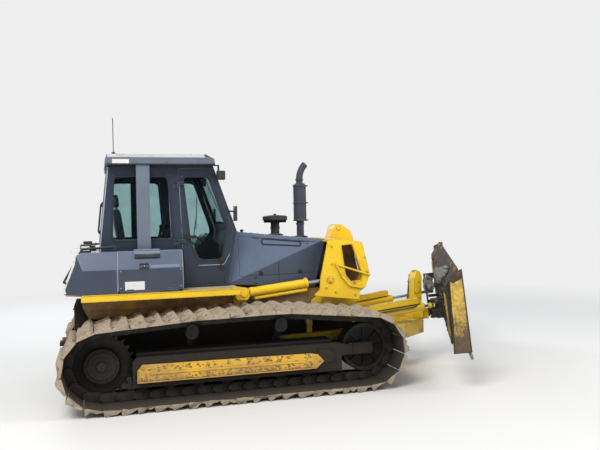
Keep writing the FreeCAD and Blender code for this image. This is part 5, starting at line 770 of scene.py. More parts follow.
# Mirrors, lamps, rails and aerial.
# Black tube rails with worn dust on them, moulded lamp housings with ribbed clear lenses, and mirror
# heads with a silvered pane.

plastic_look = paint("black_moulding", (0.028, 0.028, 0.030), (0.20, 0.17, 0.13), 1.9, 0.10, 0.55)
dress(plastic_look, "mirrors", "work_lamps", "grab_rails", "antenna")
lens_look = plain_look("ribbed_lens", (0.78, 0.79, 0.80), 0.12, spread=0.10)
silver_look = plain_look("silvered_pane", (0.80, 0.82, 0.84), 0.05, 1.0, 0.05)
amber_look = plain_look("amber_lens", (0.75, 0.16, 0.02), 0.2)
front_lens = [slab([(-0.0805, y0, 2.712), (-0.0805, y0 - 0.088, 2.712), (-0.0805, y0 - 0.088, 2.800), (-0.0805, y0, 2.800)], (0.004, 0, 0)) for y0 in (-0.756,)]
ribs = [block((-0.078, -0.842, z), (-0.0745, -0.758, z + 0.004)) for z in np.linspace(2.722, 2.788, 7)]
rear_lens = [slab([(-1.8505, -0.758, 1.842), (-1.8505, -0.852, 1.842), (-1.8505, -0.852, 1.912), (-1.8505, -0.758, 1.912)], (-0.004, 0, 0))]
ribs += [block((-1.857, -0.850, z), (-1.8535, -0.760, z + 0.004)) for z in np.linspace(1.850, 1.902, 6)]
side_glow = [slab([(-1.838, -0.8652, 1.846), (-1.745, -0.8652, 1.846), (-1.745, -0.8652, 1.906), (-1.838, -0.8652, 1.906)], (0, -0.003, 0))]
add_piece("lamp_lenses", both_sides(front_lens + rear_lens + ribs + side_glow), lens_look, "chassis")
panes = [slab([(0.0298, -0.770, 2.180), (0.0298, -0.880, 2.180), (0.0298, -0.880, 2.350), (0.0298, -0.770, 2.350)], (-0.002, 0, 0))]
add_piece("mirror_panes", both_sides(panes), silver_look, "chassis")
clips = [round_part([(x, -0.900, z)], (1, 0, 0.1), ((0.018, 0.0), (0.018, 0.030)), 16) for x, z in ((-1.70, 1.8770), (-1.52, 1.8850))]
add_piece("rail_clips", both_sides(clips), rubber_look, "chassis")


# Operator's place.
# A sprung seat in woven cloth on a steel base, arm consoles with levers, and a dashboard with gauges.

dress(plastic_look, "seat_base", "operator_controls")
fabric_look, tree, surface = new_material("woven_seat_cloth")
place = node(tree, "ShaderNodeTexCoord").outputs["Object"]
warp = node(tree, "ShaderNodeTexWave", {"Vector": place, "Scale": 210.0, "Distortion": 1.2, "Detail": 2.0}, bands_direction="Y")
weft = node(tree, "ShaderNodeTexWave", {"Vector": place, "Scale": 190.0, "Distortion": 1.2, "Detail": 2.0}, bands_direction="Z")
weave = node(tree, "ShaderNodeMath", {0: warp.outputs["Fac"], 1: weft.outputs["Fac"]}, operation="MULTIPLY")
faded = node(tree, "ShaderNodeTexNoise", {"Vector": place, "Scale": 6.0, "Detail": 6.0})
lift = node(tree, "ShaderNodeMath", {0: weave.outputs[0], 1: faded.outputs[0]}, operation="ADD")
tone = node(tree, "ShaderNodeMapRange", {"Value": lift.outputs[0], 1: 0.3, 2: 1.4, 3: 0.55, 4: 1.6})
cloth = node(tree, "ShaderNodeHueSaturation", {"Color": (0.060, 0.068, 0.085, 1), "Value": tone.outputs[0]})
tree.links.new(cloth.outputs[0], surface.inputs["Base Color"])
surface.inputs["Roughness"].default_value = 0.92
surface.inputs["Sheen Weight"].default_value = 0.3
bump = node(tree, "ShaderNodeBump", {"Height": weave.outputs[0], "Strength": 0.5, "Distance": 0.001})
tree.links.new(bump.outputs[0], surface.inputs["Normal"])

# cushion, backrest and headrest: crowned pads, each a rounded box drawn in along its middle
FLOOR, SEAT = 1.375, -1.080


def pad(centre, half, lean=0.0, power=0.34, rows=22, ring=40):
    """A crowned pad: cos and sin of both angles are raised to a power below one, so the ball turns into a rounded
    box of the three half sizes, tipped about the cross axis."""
    v = np.linspace(-np.pi / 2 + 0.02, np.pi / 2 - 0.02, rows)[:, None]
    u = np.linspace(0, 2 * np.pi, ring, endpoint=False)[None, :]
    soft = lambda c: np.sign(c) * np.abs(c) ** power
    x = half[0] * soft(np.cos(v)) * soft(np.cos(u))
    y = half[1] * soft(np.cos(v)) * soft(np.sin(u))
    z = half[2] * soft(np.sin(v)) * (1 - 0.10 * np.abs(x / half[0]) ** 2) * (1 - 0.10 * np.abs(y / half[1]) ** 3) + 0 * u
    tipped = np.stack([x * math.cos(lean) + z * math.sin(lean), y, z * math.cos(lean) - x * math.sin(lean)], -1)
    return outward(tipped + np.asarray(centre), loft_faces(1, ring, rows))


pads = [pad((SEAT + 0.010, 0, FLOOR + 0.366), (0.246, 0.246, 0.064)),
        pad((SEAT - 0.294, 0, FLOOR + 0.715), (0.055, 0.236, 0.278), -0.14),
        pad((SEAT - 0.334, 0, FLOOR + 1.090), (0.040, 0.136, 0.086), -0.10)]
for k, name in enumerate(("seat_squab", "seat_backrest", "seat_headrest")):
    piece = add_piece(name, [pads[k]], fabric_look, "chassis")
    piece.data.polygons.foreach_set("use_smooth", [True] * len(piece.data.polygons))
    if name == "seat_squab":
        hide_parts("seat_cushion")
piping = [tube([(SEAT - 0.20, y, FLOOR + 0.372), (SEAT + 0.235, y, FLOOR + 0.372), (SEAT + 0.240, y, FLOOR + 0.350)], 0.005, 0.01, 8)
          for y in (-0.243, 0.243)]
stay = [block((SEAT - 0.330, -0.15, FLOOR + 0.301), (SEAT - 0.245, 0.15, FLOOR + 0.48)),
        round_part([(SEAT - 0.318, -0.07, FLOOR + 0.96), (SEAT - 0.318, 0.07, FLOOR + 0.96)], (-0.1, 0, 1), ((0.008, 0.0), (0.008, 0.08)), 10)]
add_piece("seat_frame_trim", piping + stay, black_look, "chassis")
knobs = round_part([(-0.790, y, FLOOR + 0.700) for y in (-0.390, 0.390)], (0.2, 0, 1),
                   ((0.010, -0.01), (0.022, 0.004), (0.032, 0.026), (0.034, 0.046), (0.026, 0.066), (0.010, 0.076)), 20)
rests = [pad((-1.06, y, FLOOR + 0.545), (0.17, 0.055, 0.026)) for y in (-0.390, 0.390)]
add_piece("lever_knobs_and_armrests", [knobs] + rests, rubber_look, "chassis")
screen = slab([(-0.288, -0.18, 1.940), (-0.288, 0.18, 1.940), (-0.238, 0.18, 2.005), (-0.238, -0.18, 2.005)], (-0.012, 0, 0.010))
dials = round_part([(-0.283, y, 1.962) for y in (-0.10, 0.0, 0.10)], (-0.78, 0, 0.60), ((0.036, 0.0), (0.036, 0.014), (0.030, 0.014), (0.028, 0.011)), 24)
add_piece("dash_gauges", [screen, dials], silver_look, "chassis")
mat = block((-1.50, -0.64, 1.3745), (-0.14, 0.64, 1.379))
add_piece("floor_mat", [mat], rubber_look, "chassis")


# Hood, engine lids, exhaust and pre-cleaner.
# Pressed sheet with a fold along each side and hinged lids, a black exhaust stack with its muffler, and
# a mushroom-shaped air pre-cleaner with a slotted skirt.

# painted shade: the upright lower facets of the hood and its lids keep half the tone of the facets that lean back
hood_look = paint("slate_hood_enamel", (0.112, 0.148, 0.222), (0.36, 0.30, 0.23), 1.5, 0.13, 0.34, (0.24, 0.26, 0.30), 0.44,
                  fold=0.50)
stack_look = paint("heat_dulled_black", (0.040, 0.048, 0.066), (0.16, 0.12, 0.09), 1.5, 0.16, 0.58, (0.20, 0.12, 0.08), 0.5)
dress(hood_look, "hood", "engine_door_right", "engine_door_left")
dress(stack_look, "exhaust_stack", "engine")
dress(plastic_look, "precleaner")
A, B, C = np.array((0.090, -0.470, 2.030)), np.array((-0.045, -0.650, 1.345)), np.array((1.372, -0.440, 1.894))
D = np.array((1.190, -0.500, 1.245))
hood_out = np.cross(B - A, C - A)
hood_out /= np.linalg.norm(hood_out) * (1 if hood_out[1] < 0 else -1)
low_out = np.cross(C - D, B - D)
low_out /= np.linalg.norm(low_out) * (1 if low_out[1] < 0 else -1)


def on_hood(x, z, face=hood_out, root=A):
    """The point of the right upper facet at x and z, from the facet's plane."""
    return np.array((x, root[1] - (face[0] * (x - root[0]) + face[2] * (z - root[2])) / face[1], z))


def bead(corners, radius, width, out):
    """A half-round bead laid along a closed outline: the section stands on the face."""
    path = rounded(corners, radius, 8)
    run = np.roll(path, -1, 0) - np.roll(path, 1, 0)
    run /= np.linalg.norm(run, axis=1, keepdims=True)
    aside = np.cross(out, run)
    angle = np.linspace(0, 2 * np.pi, 9)[:-1]
    section = width * (np.cos(angle)[:, None, None] * aside + np.sin(angle)[:, None, None] * np.asarray(out))
    rows = path + section
    return outward(rows, ring_faces(rows.shape[1], 8))


for side in ("right", "left"):
    flip = (lambda parts: parts) if side == "right" else (lambda parts: [other_side(part) for part in parts])
    body = "engine_door_" + side
    slot_line = [on_hood(0.462, 1.925), on_hood(1.010, 1.872), on_hood(1.010, 1.812), on_hood(0.462, 1.850)]
    add_piece("lid_gasket_" + side, flip([bead(slot_line, 0.030, 0.010, hood_out)]), rubber_look, body)
    joint = [on_hood(x, z, low_out, D) for x, z in ((0.668, 1.345), (0.676, 1.345), (0.680, 1.600), (0.672, 1.600))]
    add_piece("lid_joint_" + side, flip([slab(joint, low_out * 0.002)]), rubber_look, body)
    marks = [round_part([on_hood(x, z, low_out, D)], low_out, ((0.012, -0.003), (0.012, 0.005), (0.008, 0.007)), 14)
             for x, z in ((0.346, 1.342), (0.346, 1.413))]
    add_piece("lid_studs_" + side, flip(marks), black_look, body)
    pulls = []
    for x, z in ((0.42, 1.470), (0.98, 1.470)):
        under = z < B[2] + (C[2] - B[2]) * (x - B[0]) / (C[0] - B[0])
        face, root = (low_out, D) if under else (hood_out, A)
        spot = on_hood(x, z, face, root)
        pulls.append(round_part([spot], face, ((0.030, -0.004), (0.030, 0.004), (0.022, 0.008), (0.010, 0.008)), 24))
        pulls.append(slab([spot + face * 0.006 + (dx, 0, dz) for dx, dz in ((-0.030, -0.008), (0.030, -0.008), (0.030, 0.008), (-0.030, 0.008))], face * 0.006))
    soften(add_piece("lid_latches_" + side, flip(pulls), black_look, body), 0.002)
knob = [round_part([(0.209, -0.40, 2.016)], (0, 0, 1), ((0.018, 0.0), (0.018, 0.014), (0.026, 0.018), (0.024, 0.034), (0.010, 0.040)), 20)]
add_piece("hood_knobs", both_sides(knob), black_look, "chassis")
slope = (1.894 - 2.030) / (1.372 - 0.090)


def on_top(x, y, lift=0.0):
    return np.array((x, y, 2.030 + slope * (x - 0.090) + lift))


seam = [slab([on_top(x, -0.43, -0.001), on_top(x, 0.43, -0.001), on_top(x + 0.006, 0.43, -0.001), on_top(x + 0.006, -0.43, -0.001)], (0, 0, 0.003)) for x in (0.36, 0.98)]
base_ring = [round_part([on_top(1.150, 0, -0.004)], (0, 0, 1), ((0.105, 0.0), (0.105, 0.016), (0.060, 0.030)), 32),
             round_part([on_top(0.775, 0, -0.004)], (0, 0, 1), ((0.115, 0.0), (0.115, 0.014), (0.070, 0.030)), 32)]
add_piece("hood_top_seams", seam + base_ring, rubber_look, "chassis")
screws = bolts([on_top(x, y) for x in (0.15, 0.33, 0.42, 0.92, 1.04, 1.28) for y in (-0.41, 0.41)], (0, 0, 1), 0.008)
add_piece("hood_top_bolts", screws, hood_look, "chassis")

bands = [round_part([(1.150, 0, z)], (0, 0, 1), ((0.090, 0.0), (0.0985, 0.002), (0.0985, 0.022), (0.090, 0.024)), 40) for z in (2.152, 2.400, 2.646)]
bands.append(round_part([(1.150, 0, 2.668)], (0, 0, 1), ((0.092, 0.0), (0.070, 0.020), (0.049, 0.030), (0.049, 0.034)), 36))
bands.append(round_part([(1.150, 0, 2.735)], (0, 0, 1), ((0.049, 0.0), (0.058, 0.002), (0.058, 0.020), (0.049, 0.022)), 30))
bands.append(round_part([(1.150, 0, 2.100)], (0, 0, 1), ((0.053, 0.0), (0.062, 0.002), (0.062, 0.022), (0.053, 0.024)), 30))
add_piece("exhaust_bands", bands, stack_look, "chassis")
lugs = [block((1.150 + 0.094, -0.016, z), (1.150 + 0.120, 0.016, z + 0.018)) for z in (2.154, 2.402, 2.648)]
add_piece("exhaust_clamp_lugs", lugs + bolts([(1.258, 0.0, z + 0.009) for z in (2.154, 2.402, 2.648)], (0, 1, 0), 0.006), bolt_look, "chassis")
fins = []
for k in range(28):
    turn = 2 * math.pi * k / 28
    run, aside = np.array((math.cos(turn), math.sin(turn), 0)), np.array((-math.sin(turn), math.cos(turn), 0)) * 0.004
    root = np.array((0.775, 0, 2.136))
    fins.append(slab([root + run * 0.080 - aside, root + run * 0.160 - aside, root + run * 0.160 + aside, root + run * 0.080 + aside], (0, 0, 0.034)))
fins.append(round_part([(0.775, 0, 2.224)], (0, 0, 1), ((0.165, 0.0), (0.150, 0.010), (0.060, 0.018), (0.022, 0.020), (0.020, 0.034), (0.014, 0.038)), 40))
fins.append(round_part([(0.775, 0, 2.170)], (0, 0, 1), ((0.174, 0.0), (0.179, 0.003), (0.179, 0.010), (0.174, 0.012)), 40))
fins.append(round_part([(0.775, 0, 2.050)], (0, 0, 1), ((0.063, 0.0), (0.070, 0.002), (0.070, 0.020), (0.063, 0.022)), 30))
add_piece("precleaner_fins", fins, black_look, "chassis")


# Radiator guard.
# Thick welded plate in yellow enamel round the radiator: an opening with a turned-in rim at each side,
# upright bars in front of the finned core, and pipe clamps and bolts on the outer plates.

dress(yellow_look, "radiator_guard", "guard_sides", "front_grille")
GUARD_Y = -0.7202
OPENING = [(1.515, GUARD_Y, 1.808), (1.667, GUARD_Y, 1.817), (1.806, GUARD_Y, 1.400), (1.790, GUARD_Y, 1.330), (1.640, GUARD_Y, 1.318),
           (1.571, GUARD_Y, 1.406)]
rims = [seal(OPENING, 0.014, -0.002, 0.020, OUT, 0.050)]
add_piece("guard_opening_rims", both_sides(rims), yellow_look, "chassis")
panel_look = paint("shaded_guard_liner", (0.30, 0.15, 0.030), (0.14, 0.09, 0.05), 2.4, 0.40, 0.6)
liner = [slab([(1.500, -0.452, 1.805), (1.760, -0.452, 1.805), (1.850, -0.452, 1.400), (1.770, -0.452, 1.250), (1.500, -0.452, 1.250)], (0, -0.004, 0))]
add_piece("guard_liners", both_sides(liner), panel_look, "chassis")
heads = [(1.375, GUARD_Y, 1.800), (1.375, GUARD_Y, 1.560), (1.290, GUARD_Y, 1.240), (1.420, GUARD_Y, 1.180), (1.700, GUARD_Y, 1.130),
         (1.850, GUARD_Y, 1.640), (1.880, GUARD_Y, 1.440)]
pin_bolts = bolts(ring_of((1.347, -0.7342, 1.353), 0.036, 3, 0.5), OUT, 0.007)
add_piece("guard_bolts", both_sides(bolts(heads, OUT, 0.011) + pin_bolts), yellow_look, "chassis")
ends = [round_part([(x, -0.7205, z)], OUT, ((0.021, 0.0), (0.021, 0.014), (0.016, 0.018)), 18)
        for x, z in ((1.432, 1.556), (1.898, 1.400), (1.443, 1.525), (1.800, 1.224))]
clamp = [block((1.640, -0.752, 1.238), (1.668, -0.7195, 1.266)), block((1.478, -0.752, 1.420), (1.506, -0.7195, 1.448))]
add_piece("guard_pipe_ends", ends + clamp, yellow_look, "chassis")
reflector = [round_part([(1.690, -0.7205, 1.300)], OUT, ((0.020, 0.0), (0.020, 0.010), (0.014, 0.014)), 24)]
pink_look = plain_look("faded_red_cap", (0.48, 0.20, 0.15), 0.55)
add_piece("guard_plugs", both_sides(reflector), pink_look, "chassis")
fins = [block((1.6302, -0.420, z), (1.6365, 0.420, z + 0.004)) for z in np.arange(1.182, 1.790, 0.016)]
add_piece("radiator_fins", fins, stack_look, "chassis")
lift_eyes = [round_part([(1.685, -0.1300, 2.035)], OUT, ((0.030, -0.002), (0.030, 0.010), (0.018, 0.012)), 20)]
add_piece("guard_lift_bosses", both_sides(lift_eyes), yellow_look, "chassis")


# Lift linkage.
# Yellow levers and links cut from plate, and two hydraulic cylinders with hard chrome rods. Each barrel
# has a bolted gland, an oil port with its hose and a grease nipple.

chrome_look, tree, surface = new_material("hard_chrome")
place = node(tree, "ShaderNodeTexCoord").outputs["Object"]
streak = node(tree, "ShaderNodeTexNoise", {"Vector": place, "Scale": 30.0, "Detail": 5.0})
haze = node(tree, "ShaderNodeMapRange", {"Value": streak.outputs[0], 1: 0.35, 2: 0.75, 3: 0.08, 4: 0.30})
stain = node(tree, "ShaderNodeMapRange", {"Value": streak.outputs[0], 1: 0.4, 2: 0.8, 3: 1.0, 4: 0.7})
silver = node(tree, "ShaderNodeHueSaturation", {"Color": (0.72, 0.73, 0.75, 1), "Value": stain.outputs[0]})
tree.links.new(haze.outputs[0], surface.inputs["Roughness"])
tree.links.new(silver.outputs[0], surface.inputs["Base Color"])
surface.inputs["Metallic"].default_value = 1.0
dress(chrome_look, "lift_rod_right", "lift_rod_left", "angle_rod_right", "angle_rod_left", "tilt_rod")
dress(yellow_look, "lift_levers", "lift_link_right", "lift_link_left", "lift_barrel_right", "lift_barrel_left")
hose_look = paint("dusty_hose_rubber", (0.020, 0.020, 0.021), (0.20, 0.15, 0.10), 1.8, 0.26, 0.66)


def gland(start, toward, radius):
    """Stepped ring with bolts at the end of a barrel."""
    axis = np.subtract(toward, start)
    axis = axis / np.linalg.norm(axis)
    aside = np.cross(axis, np.eye(3)[np.argmin(np.abs(axis))])
    aside /= np.linalg.norm(aside)
    over = np.cross(axis, aside)
    turn = 2 * np.pi * np.arange(8) / 8
    spots = start + axis * 0.004 + 0.80 * radius * (np.cos(turn)[:, None] * aside + np.sin(turn)[:, None] * over)
    ring = round_part([start], axis, ((radius * 1.0, -0.050), (radius * 1.10, -0.046), (radius * 1.10, -0.006), (radius * 1.04, 0.002),
                                      (radius * 0.60, 0.002)), 32)
    return [ring] + bolts(spots, axis, radius * 0.11)


LIFT_REAR, LIFT_FRONT = np.array((0.160, -0.655, 1.2235)), np.array((1.347, -0.655, 1.353))
lift_run = (LIFT_FRONT - LIFT_REAR) / np.linalg.norm(LIFT_FRONT - LIFT_REAR)
for side in ("right", "left"):
    flip = (lambda parts: parts) if side == "right" else (lambda parts: [other_side(part) for part in parts])
    body = "lift_barrel_" + side
    ends = gland(LIFT_REAR + lift_run * 0.884, LIFT_FRONT, 0.058)
    ends.append(round_part([LIFT_REAR + lift_run * 0.115], lift_run, ((0.058, -0.030), (0.063, -0.026), (0.063, 0.020), (0.058, 0.024)), 32))
    port = LIFT_REAR + lift_run * 0.845 + (0, 0, 0.056)
    ends.append(round_part([port], (-0.1, 0, 1), ((0.016, -0.01), (0.016, 0.012), (0.010, 0.014), (0.010, 0.020)), 14))
    add_piece("lift_gland_" + side, flip(ends), yellow_look, body)
    nipple = round_part([LIFT_REAR + lift_run * 0.860 + (0, -0.010, 0.060)], (0, 0, 1), ((0.010, 0.0), (0.010, 0.010), (0.005, 0.012), (0.006, 0.022)), 10)
    add_piece("lift_grease_nipple_" + side, flip([nipple]), silver_look, body)
    hose = tube([LIFT_REAR + lift_run * 0.150 + (0, -0.010, -0.088), LIFT_REAR + lift_run * 0.110 + (0, -0.012, -0.088),
                 LIFT_REAR + lift_run * 0.085 + (0, -0.012, -0.040)], 0.014, 0.012)
    add_piece("lift_oil_hose_" + side, flip([hose]), hose_look, body)
    boss = round_part([(1.347, -0.6775, 1.353)], OUT, ((0.051, -0.040), (0.052, -0.038), (0.052, 0.002), (0.040, 0.0045)), 30)
    add_piece("lift_rod_boss_" + side, flip([boss]), yellow_look, "lift_rod_" + side)
    pins = [round_part([(1.069, -0.5622, 1.101)], OUT, ((0.030, -0.002), (0.030, 0.002), (0.020, 0.0028)), 20)]
    add_piece("link_pin_caps_" + side, flip(pins), yellow_look, "lift_link_" + side)


# Push frame and its angle cylinders.
# Box-section arms meet in a nose with a ball joint and a mast. Each angle cylinder lies beside the mast
# under an upturned channel, with its hose clipped along the channel.

push_look = paint("push_frame_enamel", (0.94, 0.62, 0.02), (0.40, 0.29, 0.16), 0.80, 0.24, 0.38, (0.26, 0.17, 0.07), 0.5)
dress(push_look, "c_frame", "angle_barrel_right", "angle_barrel_left")
TURN, TIP = math.radians(-25.0), math.radians(7.0)
BALL = np.array((3.120, 0.0, 0.740))


def on_frame(fore, side, up):
    """Directions of the raised push frame turned into the machine's: a tip of 7 degrees about the cross axis."""
    return np.array((fore * math.cos(TIP) - up * math.sin(TIP), side, fore * math.sin(TIP) + up * math.cos(TIP)))


def on_blade(places):
    """Places along the blade's own directions, fore, side and up from the ball, turned into the machine's: first
    the blade's angle about the upright axis, then the push frame's tip."""
    fore, side, up = np.moveaxis(np.asarray(places, float), -1, 0)
    ahead = fore * math.cos(TURN) - side * math.sin(TURN)
    return BALL + np.stack([ahead * math.cos(TIP) - up * math.sin(TIP), fore * math.sin(TURN) + side * math.cos(TURN),
                            ahead * math.sin(TIP) + up * math.cos(TIP)], -1)


PIN_UP = 0.050 * math.cos(TIP) + 1.190 * math.sin(TIP)
for side, sign in (("right", -1), ("left", 1)):
    rear = np.array((1.930, 0.505 * sign, 0.790))
    front = on_blade((0.120, 0.620 * sign, PIN_UP))
    run = (front - rear) / np.linalg.norm(front - rear)
    body = "angle_barrel_" + side
    ends = gland(rear + run * 0.859, front, 0.055)
    ends.append(round_part([rear + run * 0.150], run, ((0.055, -0.030), (0.060, -0.026), (0.060, 0.020), (0.055, 0.024)), 32))
    up = on_frame(0, 0, 1)
    aside = np.cross(up, run)
    for s in (0.05, 0.36, 0.70):
        ends += bolts([rear + run * s + up * 0.1385 + aside * w for w in (-0.030, 0.030)], up, 0.008)
    add_piece("angle_gland_" + side, ends, push_look, body)
    down = rear + aside * 0.066 * sign
    hose = tube([down + run * 0.12 + up * 0.010, down + run * 0.20 + up * 0.030, down + run * 0.70 + up * 0.030, rear + run * 0.80 + up * 0.056 + aside * 0.02 * sign],
                0.011, 0.03)
    add_piece("angle_hose_" + side, [hose], hose_look, body)
    collar = round_part([front - run * 0.046], run, ((0.030, -0.050), (0.036, -0.046), (0.040, 0.0)), 24)
    cap = round_part([front], up, ((0.030, -0.028), (0.044, -0.0235), (0.044, 0.0235), (0.030, 0.028)), 28)
    add_piece("angle_rod_eye_" + side, [collar, cap], push_look, "angle_rod_" + side)

# mast cap, clamped hoses behind the mast, nose bolts and pivot caps on the arms
mast_parts = [block((2.910, -0.030, 1.352), (2.985, 0.030, 1.366))]
hub = np.array((2.933, -0.0955, 1.071))
mast_parts += [round_part([hub], OUT, ((0.048, -0.002), (0.048, 0.010), (0.034, 0.014), (0.012, 0.014)), 28)]
mast_parts += bolts([(2.958, -0.0955, 1.200), (2.945, -0.0955, 0.960), (2.975, -0.0955, 0.960)], OUT, 0.010)
pivot = (0.700, -0.5772, 0.520)
mast_parts += [round_part([(pivot[0], s * 0.5772, pivot[2])], (0, s, 0), ((0.062, -0.002), (0.062, 0.008), (0.050, 0.012)), 30) for s in (-1, 1)]
nose = [(2.845, y, 0.8655) for y in (-0.150, 0.150)]
mast_parts += bolts(nose, (0, 0, 1), 0.016)
weld = [slab([(2.300, s * 0.5652, z), (2.380, s * 0.5652, z + 0.002), (2.380, s * 0.5652, z + 0.014), (2.300, s * 0.5652, z + 0.012)], (0, s * 0.004, 0))
        for s in (-1, 1) for z in (0.462, 0.650)]
plates = [slab([(1.500, s * 0.5652, 0.480), (2.050, s * 0.5652, 0.494), (2.050, s * 0.5652, 0.600), (1.500, s * 0.5652, 0.586)], (0, s * 0.008, 0)) for s in (-1, 1)]
soften(add_piece("push_frame_fittings", mast_parts + weld + plates, push_look, "c_frame"), 0.0015)
lines = [tube([(x - 0.045, 0.109, 0.880), (x - 0.025, 0.109, 1.000), (x, 0.109, 1.240), (x + 0.010, 0.109, 1.300)], 0.012, 0.05)
         for x in (2.900, 2.930, 2.960)]
add_piece("mast_hoses", lines, hose_look, "c_frame")
clips = [block((2.855 + lean, 0.094, z), (2.960 + lean, 0.124, z + 0.022)) for z, lean in ((0.970, 0.0), (1.180, 0.022))]
soften(add_piece("mast_hose_clips", clips, bolt_look, "c_frame"), 0.002)


# Blade, its carrier and the tilt cylinder.
# Rolled plate with ribs and a hardened, bolted cutting edge. Soil and clay cling to its back, its near
# end and the tilt cylinder. The blade and its carrier are painted a darker yellow with near-black patches, as painted
# shade on the blade's back.

# painted shade: the blade's yellow is a darker copy and its soil near-black, for the shade on the blade's back
blade_look = paint("blade_yellow_and_soil_in_painted_shade", (0.62, 0.40, 0.05), (0.075, 0.058, 0.043), 2.4, 0.30, 0.55, (0.20, 0.15, 0.10), 0.6, 0.35, 0.25)
end_look = paint("muddy_blade_end", (0.84, 0.56, 0.08), (0.15, 0.105, 0.065), 2.2, 0.14, 0.50, (0.20, 0.14, 0.08), 0.65)
clay_look = paint("clay_covered_paint", (0.40, 0.30, 0.09), (0.27, 0.275, 0.265), 3.0, 0.80, 0.6, (0.18, 0.15, 0.12), 0.5)
edge_look = paint("worn_edge_steel", (0.22, 0.21, 0.20), (0.28, 0.21, 0.14), 1.0, 0.35, 0.45, (0.45, 0.44, 0.42), 0.5)
dress(blade_look, "blade", "blade_carrier")
dress(clay_look, "tilt_barrel")
dress(edge_look, "cutting_edge")


def blade_slab(fore_up, side, width):
    """A plate across the blade: an outline of fore and up places, extruded along the blade's side direction."""
    outline = np.array([(f, side, u) for f, u in fore_up])
    return slab(on_blade(outline), on_blade((0, width, 0)) - BALL)


end_ribs = []
for s in (-1, 1):
    for side in (1.840, 1.700, 1.560):
        end_ribs.append(blade_slab(((0.2455, -0.060), (0.228, -0.050), (0.228, 0.500), (0.2455, 0.560)), s * side - 0.012, 0.024))
    for up in (0.120, 0.330):
        end_ribs.append(slab(on_blade([(0.2455, s * 1.550, up), (0.2455, s * 1.850, up), (0.2455, s * 1.850, up + 0.05), (0.2455, s * 1.550, up + 0.05)]),
                             on_blade((-0.014, 0, 0)) - BALL))
    end_ribs.append(blade_slab(((0.274, -0.090), (0.312, -0.090), (0.330, 0.690), (0.306, 0.700)), s * 1.961 - (0.010 if s < 0 else 0), 0.010))
soften(add_piece("blade_end_ribs", end_ribs, end_look, "blade"), 0.004)
ends = [blade_slab(((0.262, -0.190), (0.455, -0.190), (0.455, 0.725), (0.316, 0.668)), s * 1.9605 - (0.003 if s < 0 else 0), 0.003) for s in (-1, 1)]
add_piece("blade_end_crust", ends, end_look, "blade")

edge_heads = on_blade([(0.4475, s, -0.225) for s in np.linspace(-1.85, 1.85, 20)])
forward = on_blade((1, 0, 0.25)) - BALL
edge_bolts = [round_part(edge_heads, forward, ((0.020, -0.012), (0.020, 0.004), (0.015, 0.006)), 8)]
back_heads = on_blade([(0.2448, s * side, up) for s in (-1, 1) for side in (0.42, 1.27) for up in (0.06, 0.30, 0.52)])
edge_bolts += bolts(back_heads, on_blade((-1, 0, 0)) - BALL, 0.012)
add_piece("blade_bolts", edge_bolts, edge_look, "blade")
corner = []
for s in (-1, 1):
    corner.append(slab(on_blade([(0.4350, s * 1.680, -0.160), (0.4350, s * 1.900, -0.160), (0.4720, s * 1.900, -0.298), (0.4720, s * 1.680, -0.298)]),
                       on_blade((0.010, 0, 0.002)) - BALL))
add_piece("blade_corner_bits", corner, edge_look, "blade")

# soil on the back of the blade: balls whose radius changes by a random share at each corner
lumps = 420
spread = chance.uniform(-1, 1, lumps)
where_side = np.sign(spread) * np.abs(spread) ** 0.7 * 1.86
where_up = np.where(chance.uniform(0, 1, lumps) < 0.6, chance.uniform(-0.10, 0.02, lumps), chance.uniform(0.45, 0.66, lumps))
size = chance.uniform(0.008, 0.030, (lumps, 1, 1)) * chance.uniform(0.6, 1.3, (lumps, 5, 7))
lean, turn = np.pi * (np.arange(5) + 0.5)[:, None] / 5, 2 * np.pi * np.arange(7) / 7
fore = 0.2455 - 0.45 * size * np.cos(lean) + 0 * turn + np.clip(where_up - 0.64, 0, 1)[:, None, None] * 0.8
places = np.stack(np.broadcast_arrays(fore, where_side[:, None, None] + 1.5 * size * np.sin(lean) * np.cos(turn),
                                      where_up[:, None, None] + size * np.sin(lean) * np.sin(turn)), -1)
add_piece("blade_back_soil", [outward(on_blade(places), loft_faces(lumps, 7, 5))], blade_look, "blade")

# grey clay heaped along the upper back, where the near half meets the mast
heap = 420
drift = chance.uniform(0, 1, heap) ** 0.8
where_side = 0.34 - 1.70 * drift + chance.normal(0, 0.045, heap)
where_up = 0.47 + 0.25 * drift + chance.normal(0, 0.035, heap)
size = chance.uniform(0.020, 0.055, (heap, 1, 1)) * chance.uniform(0.7, 1.2, (heap, 5, 7))
fore = np.maximum(0.232 - size * np.cos(lean) + 0 * turn, 0.192) + np.clip(where_up - 0.66, 0, 1)[:, None, None] * 0.8
places = np.stack(np.broadcast_arrays(fore, where_side[:, None, None] + 1.3 * size * np.sin(lean) * np.cos(turn),
                                      where_up[:, None, None] + size * np.sin(lean) * np.sin(turn)), -1)
add_piece("blade_clay_heap", [outward(on_blade(places), loft_faces(heap, 7, 5))], clay_look, "blade")
crumbs = np.c_[chance.uniform(2.915, 2.980, 22), chance.uniform(-0.040, 0.040, 22), chance.uniform(1.350, 1.364, 22)]
ball = np.stack(np.broadcast_arrays(np.sin(lean) * np.cos(turn), np.sin(lean) * np.sin(turn), np.cos(lean) + 0 * turn), -1)
size = chance.uniform(0.006, 0.013, (22, 1, 1, 1)) * chance.uniform(0.6, 1.3, (22, 5, 7, 1))
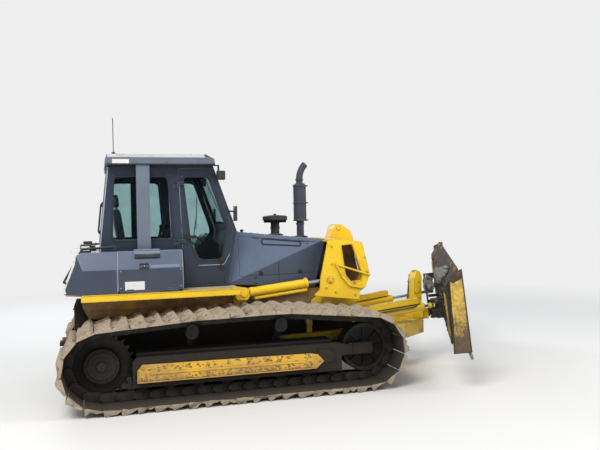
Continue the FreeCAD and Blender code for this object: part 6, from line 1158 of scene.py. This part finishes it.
add_piece("mast_top_soil", [outward(crumbs[:, None, None, :] + size * ball, loft_faces(22, 7, 5))], track_look, "c_frame")

a, b = on_blade((0.085, -0.280, 0.400)), on_blade((0.085, 0.620, 0.430))
run = (b - a) / np.linalg.norm(b - a)
up = on_frame(0, 0, 1)
bands = gland(a + run * 0.559, b, 0.068)
bands.append(round_part([a + run * 0.300], run, ((0.068, -0.016), (0.074, -0.014), (0.074, 0.014), (0.068, 0.016)), 32))
bands += [round_part([a + run * s + up * 0.066], up, ((0.018, -0.01), (0.018, 0.014), (0.012, 0.018)), 14) for s in (0.130, 0.500)]
add_piece("tilt_gland", bands, clay_look, "tilt_barrel")
hoses = [tube([a + run * 0.130 + up * 0.080, a + run * 0.130 + up * 0.120, a + run * 0.300 + up * 0.125, a + run * 0.500 + up * 0.115, a + run * 0.500 + up * 0.080], 0.011, 0.03)]
add_piece("tilt_hose", hoses, hose_look, "tilt_barrel")
clods = 90
s, turn_at = chance.uniform(0.08, 0.54, clods), chance.uniform(-1.6, 1.2, clods)
fore_way = np.cross(run, up)
root = a + run * s[:, None] + 0.066 * (np.cos(turn_at)[:, None] * up - np.sin(turn_at)[:, None] * fore_way)
size = chance.uniform(0.008, 0.024, (clods, 1, 1, 1)) * chance.uniform(0.6, 1.3, (clods, 5, 7, 1))
ball = np.stack(np.broadcast_arrays(np.sin(lean) * np.cos(turn), np.sin(lean) * np.sin(turn), np.cos(lean) + 0 * turn), -1)
add_piece("tilt_clay_lumps", [outward(root[:, None, None, :] + size * ball, loft_faces(clods, 7, 5))], clay_look, "tilt_barrel")

carrier_parts = [round_part([on_blade((0.052, -0.280, 0.400))], on_blade((-1, 0, 0)) - BALL, ((0.034, -0.004), (0.034, 0.008), (0.022, 0.010)), 24)]
carrier_parts += bolts(on_blade([(0.0695, s, u) for s in (-0.110, 0.110) for u in (-0.075, 0.090)]), on_blade((-1, 0, 0)) - BALL, 0.014)
add_piece("carrier_bolts", carrier_parts, blade_look, "blade_carrier")
